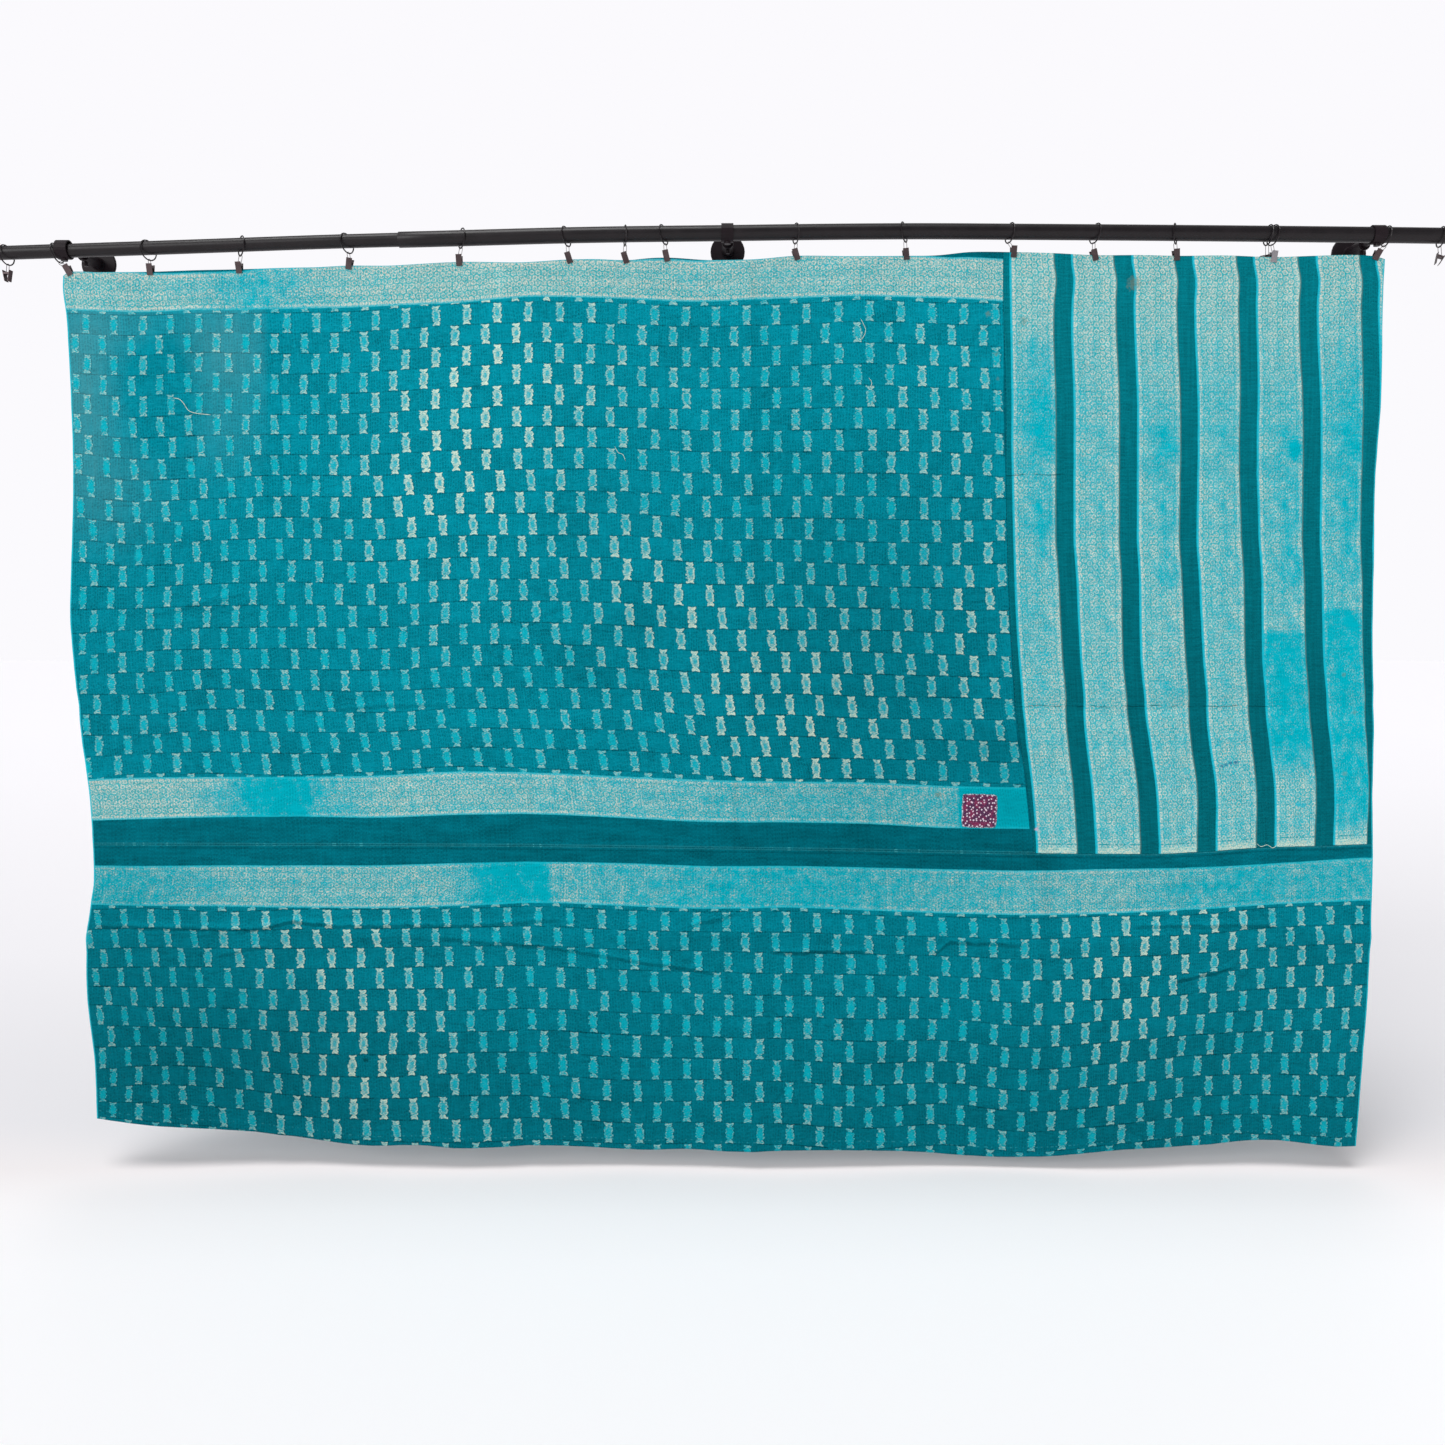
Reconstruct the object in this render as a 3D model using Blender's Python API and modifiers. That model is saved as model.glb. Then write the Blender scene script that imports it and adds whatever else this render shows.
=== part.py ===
"""Kantha quilt hung by clip rings from a telescoping curtain rod on three wall brackets.

Metres, +Z up. The origin is the middle of the middle wall plate's back face. +X runs along the rod
to the viewer's right, the wall is the plane y = 0, and the cloth faces -Y.
"""

import math

import bmesh
import bpy
from mathutils import Matrix, Vector

MM = 0.001
FIT = 0.3  # running gap between pieces that touch, mm

# Cloth
CLOTH_THICK = 3.0  # several layers of old cloth stitched through, mm
PATCH_THICK = 1.0
SEAM_GAP = 0.4
HANGING_Y = -110.0  # the rod's axis and the cloth's hanging plane, mm before the wall

# Outline of the cloth as it hangs, mm. Each table is a line that the edge runs through.
TOP_EDGE = (  # x, z
    (-1110, -72), (-1096, -64), (-1041, -66), (-962, -64), (-890, -63), (-814, -60), (-696, -58),
    (-632, -54), (-555, -55), (-447, -48), (-346, -50), (-263, -44), (-168, -45), (-101, -41),
    (-30, -46), (40, -45), (115, -38), (203, -40), (297, -38), (350, -38), (406, -33), (475, -32),
    (540, -35), (612, -37), (676, -38), (747, -38), (830, -39), (907, -40), (990, -39), (1050, -37),
    (1078, -39), (1096, -44),
)
HEM_EDGE = (  # x, z
    (-1100, -1509), (-1009, -1520), (-835, -1536), (-678, -1556), (-626, -1559), (-538, -1556),
    (-468, -1561), (-311, -1559), (-153, -1568), (-66, -1565), (4, -1568), (127, -1565),
    (302, -1570), (442, -1579), (547, -1577), (634, -1568), (686, -1563), (826, -1559),
    (948, -1550), (1054, -1558), (1097, -1558),
)
LEFT_EDGE = (  # z, x
    (-72, -1108), (-94, -1109), (-143, -1104), (-274, -1101), (-407, -1102), (-541, -1110),
    (-642, -1116), (-744, -1111), (-847, -1104), (-950, -1094), (-1089, -1092), (-1124, -1098),
    (-1194, -1108), (-1299, -1110), (-1406, -1101), (-1509, -1100),
)
RIGHT_EDGE = (  # z, x
    (-44, 1094), (-110, 1093), (-274, 1096), (-407, 1091), (-541, 1094), (-676, 1097),
    (-813, 1105), (-950, 1107), (-1054, 1111), (-1194, 1111), (-1299, 1109), (-1406, 1104),
    (-1558, 1097),
)
DOWN_SEAM = (  # z, x: main panel against striped panel, and the same thread line on to the hem
    (-33, 458), (-110, 459), (-255, 466), (-455, 470), (-600, 477), (-790, 492), (-905, 509),
    (-1042, 527), (-1300, 540), (-1580, 548),
)
ACROSS_SEAM = (  # x, z: the upper panels against the lower panel
    (-1095, -1026), (-736, -1027), (-306, -1029), (124, -1035), (527, -1042), (740, -1043),
    (813, -1040), (911, -1033), (1012, -1030), (1110, -1026),
)

# Relief of the cloth, mm. Plus is towards the viewer.
PRESS_FOLDS = (  # x at the top, x at the hem, half width, rise: left from folding it away
    (-778, -790, 34, 3.0),
    (-362, -350, 36, -3.5),
    (36, 44, 34, 3.0),
    (790, 800, 40, -2.5),
)
CROSS_FOLDS = (  # z, half height, rise, x from, x to
    (-788, 30, -3.0, -1200, 1200),
    (-1188, 28, 3.5, -1200, 1200),
)
SWELLS = (  # x, z, reach across, reach down, rise
    (-960, -420, 170, 320, 5.0),
    (-600, -760, 210, 260, -6.0),
    (-180, -480, 240, 330, 5.0),
    (260, -830, 230, 260, -4.0),
    (700, -520, 190, 380, 5.0),
    (980, -860, 150, 260, -5.0),
    (-820, -1380, 180, 180, -6.0),
    (520, -1400, 230, 170, 5.0),
)
FLUTES = (  # x, half width, rise at the hem: soft waves that open towards the foot
    (-1010, 120, 7.0), (-760, 140, -7.0), (-480, 150, 6.0), (-190, 150, -6.0), (90, 140, 6.0),
    (380, 150, -7.0), (660, 130, 7.0), (900, 120, -6.0), (1060, 80, 5.0),
)
FLUTE_START = -1080.0
BILLOW_RISE = 5.0  # the cloth bows out a little between two clips
BILLOW_REACH = 110.0
FREE_BELOW = 130.0  # the clips hold the cloth flat down to about here

COLUMN_PITCH = 60.0
UPPER_ROWS = 20
LOWER_ROWS = 11

PATCH_MIDDLE = (432.0, -969.0)
PATCH_SIZE = (60.0, 58.0)
PATCH_TURN = math.radians(-1.5)

# Rod
ROD_LINE = (  # x, z: it bows over the middle bracket and drops to the left
    (-1260, -35), (-1107, -30), (-895, -23), (-662, -15), (-471, -10), (-238, -4), (0, -1),
    (160, 1), (319, 2), (502, 1), (768, -1), (1080, -4), (1240, -6),
)
OUTER_TUBE = 25.4
INNER_TUBE = 22.2
TUBE_WALL = 1.2
ROD_LEFT = -1236.0
ROD_RIGHT = 1216.0
STEP_X = -547.0  # where the thin tube comes out of the thick one
TUBE_OVERLAP = 260.0
TUBE_SIDES = 16
TUBE_PITCH = 98.0  # along the rod, between the points of its bow
CAP_LENGTH = 12.0
CAP_FLOOR = 3.0
CAP_WALL = 1.6

# Brackets
BRACKETS = (  # name, x of the saddle, x and z of the wall plate, tube carried
    ("left", -1105, -1100, -21, INNER_TUBE),
    ("middle", -1, 0, 0, OUTER_TUBE),
    ("right", 1080, 1086, -3, OUTER_TUBE),
)
PLATE_RADIUS = 30.0
PLATE_THICK = 5.0
PLATE_EDGE = 1.2
POST_RADIUS = 10.0
POST_LENGTH = 52.0
STEM_RADIUS = 6.0
STEM_IN_POST = 30.0
SADDLE_BORE = 13.4
SADDLE_RADIUS = 15.5
SADDLE_WIDTH = 20.0
BOSS_RADIUS = 5.5
BOSS_DROP = 18.0
SCREW_RADIUS = 3.5
SCREW_LENGTH = 6.0
SCREW_BACK = 9.0  # from the post's front end

# Rings and clips
RING_RADIUS = 16.4  # to the middle of the wire
RING_WIRE = 1.1  # radius
RING_SEGMENTS = 20
EYE_RADIUS = 2.5
EYE_WIRE = 0.45
CLIP_WIDTH = 9.6
CLIP_HEIGHT = 18.2
CLIP_SHEET = 0.9
JAW_OPEN = 2.2  # half the gap between the jaws
LEVER_OPEN = 5.6  # half the gap between the levers
WEB = (11.6, 14.6)  # the spring block between the levers, above the jaw tips

# x and turns of each ring, then where its clip's jaws end and how the clip stands. Angles in degrees.
# lean is the foot's swing towards +x, turn is about the vertical, back is the clip's swing to the wall.
RINGS = (  # x, turn, lean, jaw_x, jaw_z, clip_lean, clip_turn, jaw_back
    (-1201, -13, 7, -1200.5, -80, 0, 84, 0),
    (-1117, -5, 16, -1094.5, -70, 26, 0, 0),
    (-965, -24, 6, -962, -70, 1, 0, 0),
    (-810, 36, -4, -813.5, -67, 3, 0, 0),
    (-634, -23, 8, -632, -60.5, -10, 0, 0),
    (-443, 29, -4, -447, -55, 2, 0, 0),
    (-269, -19, 8, -262, -50.5, 18, 0, 0),
    (-171, 12, 0, -168, -50.5, 18, 0, 0),
    (-107, -21, 9, -100.5, -47.5, 13, 0, 0),
    (113, 16, 1, 116, -45, 17, 0, 0),
    (293, -24, 7, 297.5, -45, 7, 0, 0),
    (469, 15, -6, 475, -41, -2, 0, 0),
    (611, 16, -9, 612.5, -46, 16, 0, 0),
    (744, -28, 1, 747, -46, 5, 0, 0),
    (899, 4, -6, 889.7, -39, -90, 90, 11.5),
    (907, 13, -6, 907.5, -49, -5, 0, 0),
    (1095.5, 0, -8, 1076, -45, -26, 0, 0),
    (1186, -6, -6, 1181, -52, -22, 78, 0),
)
SILVERED_CLIP = 16
FLATS = 0.12  # what a many-sided round loses at the middle of its flats

COLOURS = {  # base colour, roughness, metallic
    "figured_teal": ((0.004, 0.262, 0.310), 0.85, 0.0),
    "striped_teal": ((0.150, 0.480, 0.480), 0.85, 0.0),
    "printed_maroon": ((0.090, 0.012, 0.040), 0.85, 0.0),
    "black_rod": ((0.022, 0.018, 0.019), 0.38, 0.3),
    "black_ring": ((0.025, 0.020, 0.020), 0.35, 0.5),
    "bronzed_clip": ((0.060, 0.045, 0.042), 0.42, 0.7),
    "bright_clip": ((0.360, 0.350, 0.360), 0.30, 0.9),
}


# Lines and relief

def along(table, at):
    """The value of a two-column table at a place, on a smooth line through its rows."""
    rows = sorted(table)
    if at <= rows[0][0]:
        return float(rows[0][1])
    if at >= rows[-1][0]:
        return float(rows[-1][1])
    index = max(i for i in range(len(rows) - 1) if rows[i][0] <= at)
    before = rows[max(index - 1, 0)]
    start, end = rows[index], rows[index + 1]
    after = rows[min(index + 2, len(rows) - 1)]
    span = end[0] - start[0]
    share = (at - start[0]) / span
    slope_in = (end[1] - before[1]) / (end[0] - before[0]) * span
    slope_out = (after[1] - start[1]) / (after[0] - start[0]) * span
    a = 2 * share**3 - 3 * share**2 + 1
    b = share**3 - 2 * share**2 + share
    c = -2 * share**3 + 3 * share**2
    d = share**3 - share**2
    return a * start[1] + b * slope_in + c * end[1] + d * slope_out


def eased(share):
    """0 to 1 with a soft start and end."""
    share = min(max(share, 0.0), 1.0)
    return share * share * (3 - 2 * share)


def held_places():
    """The x of each clip that grips the cloth, from left to right."""
    return sorted(row[3] for row in RINGS if row[6] == 0)


def billow(x, below_top):
    """The cloth's bow between the two clips beside x."""
    places = held_places()
    for left, right in zip(places, places[1:]):
        if left <= x <= right:
            middle = math.sin(math.pi * (x - left) / (right - left)) ** 2
            size = min(1.0, (right - left) / 150)
            return BILLOW_RISE * size * middle * math.exp(-below_top / BILLOW_REACH)
    return 0.0


def relief(x, z):
    """How far the cloth stands towards the viewer from its hanging plane, mm."""
    below_top = max(along(TOP_EDGE, x) - z, 0.0)
    rise = 0.0
    for fold_top, fold_foot, half_width, fold_rise in PRESS_FOLDS:
        fold_x = fold_top + (fold_foot - fold_top) * below_top / 1500
        rise += fold_rise * max(0.0, 1 - abs(x - fold_x) / half_width)
    for fold_z, half_height, fold_rise, x_from, x_to in CROSS_FOLDS:
        if x_from <= x <= x_to:
            rise += fold_rise * max(0.0, 1 - abs(z - fold_z) / half_height)
    for swell_x, swell_z, across, down, swell_rise in SWELLS:
        rise += swell_rise * math.exp(-(((x - swell_x) / across) ** 2) - ((z - swell_z) / down) ** 2)
    opened = eased((FLUTE_START - z) / (FLUTE_START - along(HEM_EDGE, x)))
    for flute_x, half_width, flute_rise in FLUTES:
        rise += flute_rise * opened * math.exp(-(((x - flute_x) / half_width) ** 2) * 1.6)
    return rise * eased(below_top / FREE_BELOW) + billow(x, below_top)


# Blender helpers

def clear_scene():
    for obj in list(bpy.data.objects):
        bpy.data.objects.remove(obj, do_unlink=True)


def material(name):
    """The plain finish of this name, made once."""
    if name in bpy.data.materials:
        return bpy.data.materials[name]
    colour, roughness, metallic = COLOURS[name]
    made = bpy.data.materials.new(name)
    made.use_nodes = True
    shader = made.node_tree.nodes["Principled BSDF"]
    shader.inputs["Base Color"].default_value = (*colour, 1.0)
    shader.inputs["Roughness"].default_value = roughness
    shader.inputs["Metallic"].default_value = metallic
    return made


def place(name, mesh, finish, matrix=None):
    """A named object of this mesh in the quilt's collection."""
    mesh.name = name
    obj = bpy.data.objects.new(name, mesh)
    obj.data.materials.clear()
    obj.data.materials.append(material(finish))
    bpy.data.collections["kantha_quilt"].objects.link(obj)
    if matrix is not None:
        obj.matrix_world = matrix
    return obj


def mesh_of(bm, name="shape"):
    bmesh.ops.recalc_face_normals(bm, faces=bm.faces)
    mesh = bpy.data.meshes.new(name)
    bm.to_mesh(mesh)
    bm.free()
    return mesh


def round_bar(radius, start, end, segments=24):
    """A cylinder between two points."""
    start, end = Vector(start), Vector(end)
    bm = bmesh.new()
    turn = (end - start).to_track_quat("Z", "Y").to_matrix().to_4x4()
    bmesh.ops.create_cone(
        bm, cap_ends=True, segments=segments, radius1=radius, radius2=radius,
        depth=(end - start).length, matrix=Matrix.Translation((start + end) / 2) @ turn,
    )
    return mesh_of(bm)


def swept(points, radius, sides, cyclic=False, caps=True):
    """A round wire along points, as a mesh."""
    curve = bpy.data.curves.new("wire", "CURVE")
    curve.dimensions = "3D"
    curve.bevel_depth = radius
    curve.bevel_resolution = (sides - 4) // 2
    curve.use_fill_caps = caps and not cyclic
    spline = curve.splines.new("POLY")
    spline.points.add(len(points) - 1)
    for point, co in zip(spline.points, points):
        point.co = (*co, 1.0)
    spline.use_cyclic_u = cyclic
    return meshed(curve)


def meshed(curve):
    """A curve's solid as a mesh with its doubles merged."""
    holder = bpy.data.objects.new("holder", curve)
    bpy.context.scene.collection.objects.link(holder)
    bpy.context.view_layer.update()
    mesh = bpy.data.meshes.new_from_object(holder.evaluated_get(bpy.context.evaluated_depsgraph_get()))
    bpy.data.objects.remove(holder)
    bpy.data.curves.remove(curve)
    bm = bmesh.new()
    bm.from_mesh(mesh)
    bmesh.ops.remove_doubles(bm, verts=bm.verts, dist=1e-6)
    bpy.data.meshes.remove(mesh)
    return mesh_of(bm)


def combined(base, other, operation):
    """The Boolean of two meshes, as a mesh."""
    first = bpy.data.objects.new("first", base)
    second = bpy.data.objects.new("second", other)
    for obj in (first, second):
        bpy.context.scene.collection.objects.link(obj)
    boolean = first.modifiers.new("join", "BOOLEAN")
    boolean.operation = operation
    boolean.solver = "EXACT"
    boolean.object = second
    bpy.context.view_layer.update()
    result = bpy.data.meshes.new_from_object(first.evaluated_get(bpy.context.evaluated_depsgraph_get()))
    for obj in (first, second):
        bpy.data.objects.remove(obj)
    for mesh in (base, other):
        bpy.data.meshes.remove(mesh)
    return result


def turned(name, profile, finish, matrix, steps=28):
    """A turned piece: its profile of (radius, height) points swept round the z axis."""
    bm = bmesh.new()
    ends = [bm.verts.new((radius * MM, 0.0, height * MM)) for radius, height in profile]
    for first, second in zip(ends, ends[1:]):
        bm.edges.new((first, second))
    mesh = bpy.data.meshes.new(name)
    bm.to_mesh(mesh)
    bm.free()
    obj = place(name, mesh, finish, matrix)
    screw = obj.modifiers.new("turn", "SCREW")
    screw.axis = "Z"
    screw.steps = steps
    screw.render_steps = steps
    screw.use_merge_vertices = True
    screw.merge_threshold = 0.00005
    screw.use_normal_flip = True
    return obj


def smooth(obj, angle=35):
    """Round pieces shade smoothly across edges flatter than the angle."""
    obj.data.shade_smooth()
    obj.data.set_sharp_from_angle(angle=math.radians(angle))


# Cloth

def column_places():
    """Where the cloth's columns start along its top: at its sides, its clips, its folds and between."""
    fixed = held_places() + [fold[0] for fold in PRESS_FOLDS] + [along(DOWN_SEAM, -33)]
    fixed = [along(LEFT_EDGE, -72)] + sorted(fixed) + [along(RIGHT_EDGE, -44)]
    places = []
    for start, end in zip(fixed, fixed[1:]):
        count = max(1, round((end - start) / COLUMN_PITCH))
        places += [start + (end - start) * i / count for i in range(count)]
    return places + [fixed[-1]]


def row_places():
    """Shares down the cloth: 0 at the top, 1 at the seam across, 2 at the hem, with rows on the folds."""
    seam_z, top_z, hem_z = -1035, -46, -1560
    upper = [i / UPPER_ROWS for i in range(UPPER_ROWS + 1)]
    lower = [1 + i / LOWER_ROWS for i in range(1, LOWER_ROWS + 1)]
    rows = upper + lower
    for fold_z, *_ in CROSS_FOLDS:
        if fold_z > seam_z:
            share = (top_z - fold_z) / (top_z - seam_z)
        else:
            share = 1 + (seam_z - fold_z) / (seam_z - hem_z)
        nearest = min(range(len(rows)), key=lambda i: abs(rows[i] - share))
        rows[nearest] = share
    return rows


def column_x(column, z):
    """The x of a column at a height: columns spread between the side edges and the seam line."""
    left_top, seam_top, right_top = along(LEFT_EDGE, -72), along(DOWN_SEAM, -33), along(RIGHT_EDGE, -44)
    if column <= seam_top:
        share = (column - left_top) / (seam_top - left_top)
        start, end = along(LEFT_EDGE, z), along(DOWN_SEAM, z)
    else:
        share = (column - seam_top) / (right_top - seam_top)
        start, end = along(DOWN_SEAM, z), along(RIGHT_EDGE, z)
    return start + (end - start) * share


def cloth_point(column, row):
    """The (x, z) of the cloth's middle at a column and a share down it, mm."""
    seam_z = along(ACROSS_SEAM, column_x(column, -1035))
    if row <= 1:
        z = along(TOP_EDGE, column) * (1 - row) + seam_z * row
    else:
        hem_z = along(HEM_EDGE, column_x(column, -1560))
        z = seam_z * (2 - row) + hem_z * (row - 1)
    return column_x(column, z), z


def cloth_panel(name, columns, rows, finish, shift=(0.0, 0.0), seam_column=None):
    """One panel over some columns and rows, drawn back from its seams by half their gap."""
    across, down = len(columns) - 1, len(rows) - 1
    bm = bmesh.new()
    bmesh.ops.create_grid(bm, x_segments=across, y_segments=down, size=0.5)
    for vert in bm.verts:
        column = columns[round((vert.co.x + 0.5) * across)]
        row = rows[round((0.5 - vert.co.y) * down)]
        x, z = cloth_point(column, row)
        y = HANGING_Y - relief(x, z)
        if column == seam_column:
            x += shift[0]
        if row == 1:
            z += shift[1]
        vert.co = (x * MM, y * MM, z * MM)
    mesh = bpy.data.meshes.new(name)
    bm.normal_update()
    if sum(face.normal.y for face in bm.faces) > 0:
        bmesh.ops.reverse_faces(bm, faces=bm.faces)
    bm.to_mesh(mesh)
    bm.free()
    obj = place(name, mesh, finish)
    thick = obj.modifiers.new("layers", "SOLIDIFY")
    thick.thickness = CLOTH_THICK * MM
    thick.offset = 0.0
    smooth(obj, 60)
    return obj


def quilt_panels():
    columns = column_places()
    rows = row_places()
    seam = along(DOWN_SEAM, -33)
    seam_index = columns.index(seam)
    upper = [row for row in rows if row <= 1]
    lower = [row for row in rows if row >= 1]
    half = SEAM_GAP / 2
    cloth_panel("quilt_main_panel", columns[: seam_index + 1], upper, "figured_teal", (-half, half), seam)
    cloth_panel("quilt_striped_panel", columns[seam_index:], upper, "striped_teal", (half, half), seam)
    cloth_panel("quilt_lower_panel", columns, lower, "figured_teal", (0.0, -half))


def patch():
    """The printed patch, lying on the face of the main panel."""
    bm = bmesh.new()
    bmesh.ops.create_grid(bm, x_segments=6, y_segments=6, size=0.5)
    cos, sin = math.cos(PATCH_TURN), math.sin(PATCH_TURN)
    for vert in bm.verts:
        across, up = vert.co.x * PATCH_SIZE[0], vert.co.y * PATCH_SIZE[1]
        x = PATCH_MIDDLE[0] + across * cos - up * sin
        z = PATCH_MIDDLE[1] + across * sin + up * cos
        stand = CLOTH_THICK / 2 + 2 * FIT + PATCH_THICK / 2
        vert.co = (x * MM, (HANGING_Y - relief(x, z) - stand) * MM, z * MM)
    bm.normal_update()
    if sum(face.normal.y for face in bm.faces) > 0:
        bmesh.ops.reverse_faces(bm, faces=bm.faces)
    mesh = bpy.data.meshes.new("quilt_patch")
    bm.to_mesh(mesh)
    bm.free()
    obj = place("quilt_patch", mesh, "printed_maroon")
    thick = obj.modifiers.new("cloth", "SOLIDIFY")
    thick.thickness = PATCH_THICK * MM
    thick.offset = 0.0
    smooth(obj, 60)


# Rod

def rod_z(x):
    return along(ROD_LINE, x)


def tube(name, start, end, outside):
    """A hollow tube along the rod's bowed line."""
    count = round((end - start) / TUBE_PITCH)
    places = [start + (end - start) * i / count for i in range(count + 1)]
    points = [(x * MM, HANGING_Y * MM, rod_z(x) * MM) for x in places]
    mesh = swept(points, outside / 2 * MM, TUBE_SIDES, caps=False)
    bm = bmesh.new()
    bm.from_mesh(mesh)
    middle = sum(((face.calc_center_median() - nearest_on_rod(face)).dot(face.normal) for face in bm.faces))
    if middle < 0:
        bmesh.ops.reverse_faces(bm, faces=bm.faces)
    bm.to_mesh(mesh)
    bm.free()
    obj = place(name, mesh, "black_rod")
    wall = obj.modifiers.new("wall", "SOLIDIFY")
    wall.thickness = TUBE_WALL * MM
    wall.offset = -1.0
    smooth(obj, 40)


def nearest_on_rod(face):
    """The point of the rod's line beside a face."""
    x = face.calc_center_median().x
    return Vector((x, HANGING_Y * MM, rod_z(x / MM) * MM))


def end_cap(name, x, side, outside):
    """A plain push-on cap. side is -1 at the left end and 1 at the right."""
    bore = outside / 2 + FIT + 2 * FLATS
    outer = bore + CAP_WALL
    profile = (
        (0, 0), (bore, 0), (bore, CAP_FLOOR - CAP_LENGTH),
        (outer, CAP_FLOOR - CAP_LENGTH), (outer, CAP_FLOOR - 1), (outer - 1, CAP_FLOOR), (0, CAP_FLOOR),
    )
    at = Matrix.Translation((x * MM, HANGING_Y * MM, rod_z(x) * MM))
    slope = math.atan2(rod_z(x + 10) - rod_z(x - 10), 20)
    turn = Matrix.Rotation(math.radians(90) * side - slope, 4, "Y")
    smooth(turned(name, profile, "black_rod", at @ turn, steps=20))


def rod():
    tube("rod_outer_tube", STEP_X, ROD_RIGHT, OUTER_TUBE)
    tube("rod_inner_tube", ROD_LEFT, STEP_X + TUBE_OVERLAP, INNER_TUBE)
    end_cap("rod_cap_left", ROD_LEFT - FIT, -1, INNER_TUBE)
    end_cap("rod_cap_right", ROD_RIGHT + FIT, 1, OUTER_TUBE)


# Brackets

def bracket(side, saddle_x, plate_x, plate_z, tube_size):
    """A wall plate, a post on it, and a saddle round the rod whose stem slides into the post."""
    facing = Matrix.Rotation(math.radians(90), 4, "X")
    plate = (
        (0, 0), (PLATE_RADIUS - 0.6, 0), (PLATE_RADIUS, 0.6), (PLATE_RADIUS, PLATE_THICK - PLATE_EDGE),
        (PLATE_RADIUS - PLATE_EDGE, PLATE_THICK), (0, PLATE_THICK),
    )
    at_plate = Matrix.Translation((plate_x * MM, 0, plate_z * MM))
    smooth(turned(f"bracket_{side}_plate", plate, "black_rod", at_plate @ facing))
    bore = STEM_RADIUS + FIT
    post = (
        (0, 0), (POST_RADIUS + 1.5, 0), (POST_RADIUS, 2.5), (POST_RADIUS, POST_LENGTH),
        (bore, POST_LENGTH), (bore, POST_LENGTH - STEM_IN_POST - 2), (0, POST_LENGTH - STEM_IN_POST - 2),
    )
    at_post = Matrix.Translation((plate_x * MM, -(PLATE_THICK + FIT) * MM, plate_z * MM))
    smooth(turned(f"bracket_{side}_post", post, "black_rod", at_post @ facing, steps=20))
    saddle(side, saddle_x, plate_x, plate_z, tube_size)
    front = -(PLATE_THICK + FIT + POST_LENGTH)
    screw_y = (front + SCREW_BACK) * MM
    top_z = (plate_z - POST_RADIUS - FIT) * MM
    head = round_bar(
        SCREW_RADIUS * MM, (plate_x * MM, screw_y, top_z), (plate_x * MM, screw_y, top_z - SCREW_LENGTH * MM), 12
    )
    smooth(place(f"bracket_{side}_screw", head, "black_rod"))


def saddle(side, x, plate_x, plate_z, tube_size):
    """The collar round the rod, with its foot boss and the stem that goes into the post."""
    seated = rod_z(x) + SADDLE_BORE - tube_size / 2 - FIT - 3 * FLATS
    middle = Vector((x * MM, HANGING_Y * MM, seated * MM))
    half = Vector((SADDLE_WIDTH / 2 * MM, 0, 0))
    stem_end = -(PLATE_THICK + FIT + POST_LENGTH - STEM_IN_POST) * MM
    stem = round_bar(
        STEM_RADIUS * MM, (plate_x * MM, stem_end, plate_z * MM),
        (plate_x * MM, (HANGING_Y + 6) * MM, plate_z * MM), 20,
    )
    body = round_bar(SADDLE_RADIUS * MM, middle - half, middle + half)
    boss_foot = middle - Vector((0, 0, BOSS_DROP * MM))
    boss = round_bar(BOSS_RADIUS * MM, middle, boss_foot, 16)
    solid = combined(combined(body, stem, "UNION"), boss, "UNION")
    bore = round_bar(SADDLE_BORE * MM, middle - half * 1.6, middle + half * 1.6)
    smooth(place(f"bracket_{side}_saddle", combined(solid, bore, "DIFFERENCE"), "black_rod"))


# Rings and clips

def ring_turn(turn, lean):
    """A ring's rotation from lying across the rod: turned about the vertical, its foot swung along it."""
    return Matrix.Rotation(math.radians(turn), 4, "Z") @ Matrix.Rotation(-math.radians(lean), 4, "Y")


def tube_radius(x):
    return (OUTER_TUBE if x > STEP_X else INNER_TUBE) / 2


def ring_middle(x, turn, lean):
    """The middle of a ring that hangs on the rod: as low as its wire clears the tube."""
    rotation = ring_turn(turn, lean)
    need = tube_radius(x) + RING_WIRE + FIT + FLATS
    lowest = []
    for step in range(-45, 46):
        angle = math.radians(step * 2)
        wire = rotation @ Vector((0, math.sin(angle) * RING_RADIUS, math.cos(angle) * RING_RADIUS))
        if abs(wire.y) < need:
            lowest.append(rod_z(x + wire.x) + math.sqrt(need**2 - wire.y**2) - wire.z)
    return Vector((x, HANGING_Y, max(lowest)))


def ring(name, x, turn, lean):
    bpy.ops.mesh.primitive_torus_add(
        major_segments=RING_SEGMENTS, minor_segments=6,
        major_radius=RING_RADIUS * MM, minor_radius=RING_WIRE * MM,
    )
    made = bpy.context.object
    mesh = made.data
    bpy.data.objects.remove(made)
    flat_to_across = Matrix.Rotation(math.radians(90), 4, "Y")
    at = Matrix.Translation(ring_middle(x, turn, lean) * MM)
    smooth(place(name, mesh, "black_ring", at @ ring_turn(turn, lean) @ flat_to_across), 80)


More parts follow.
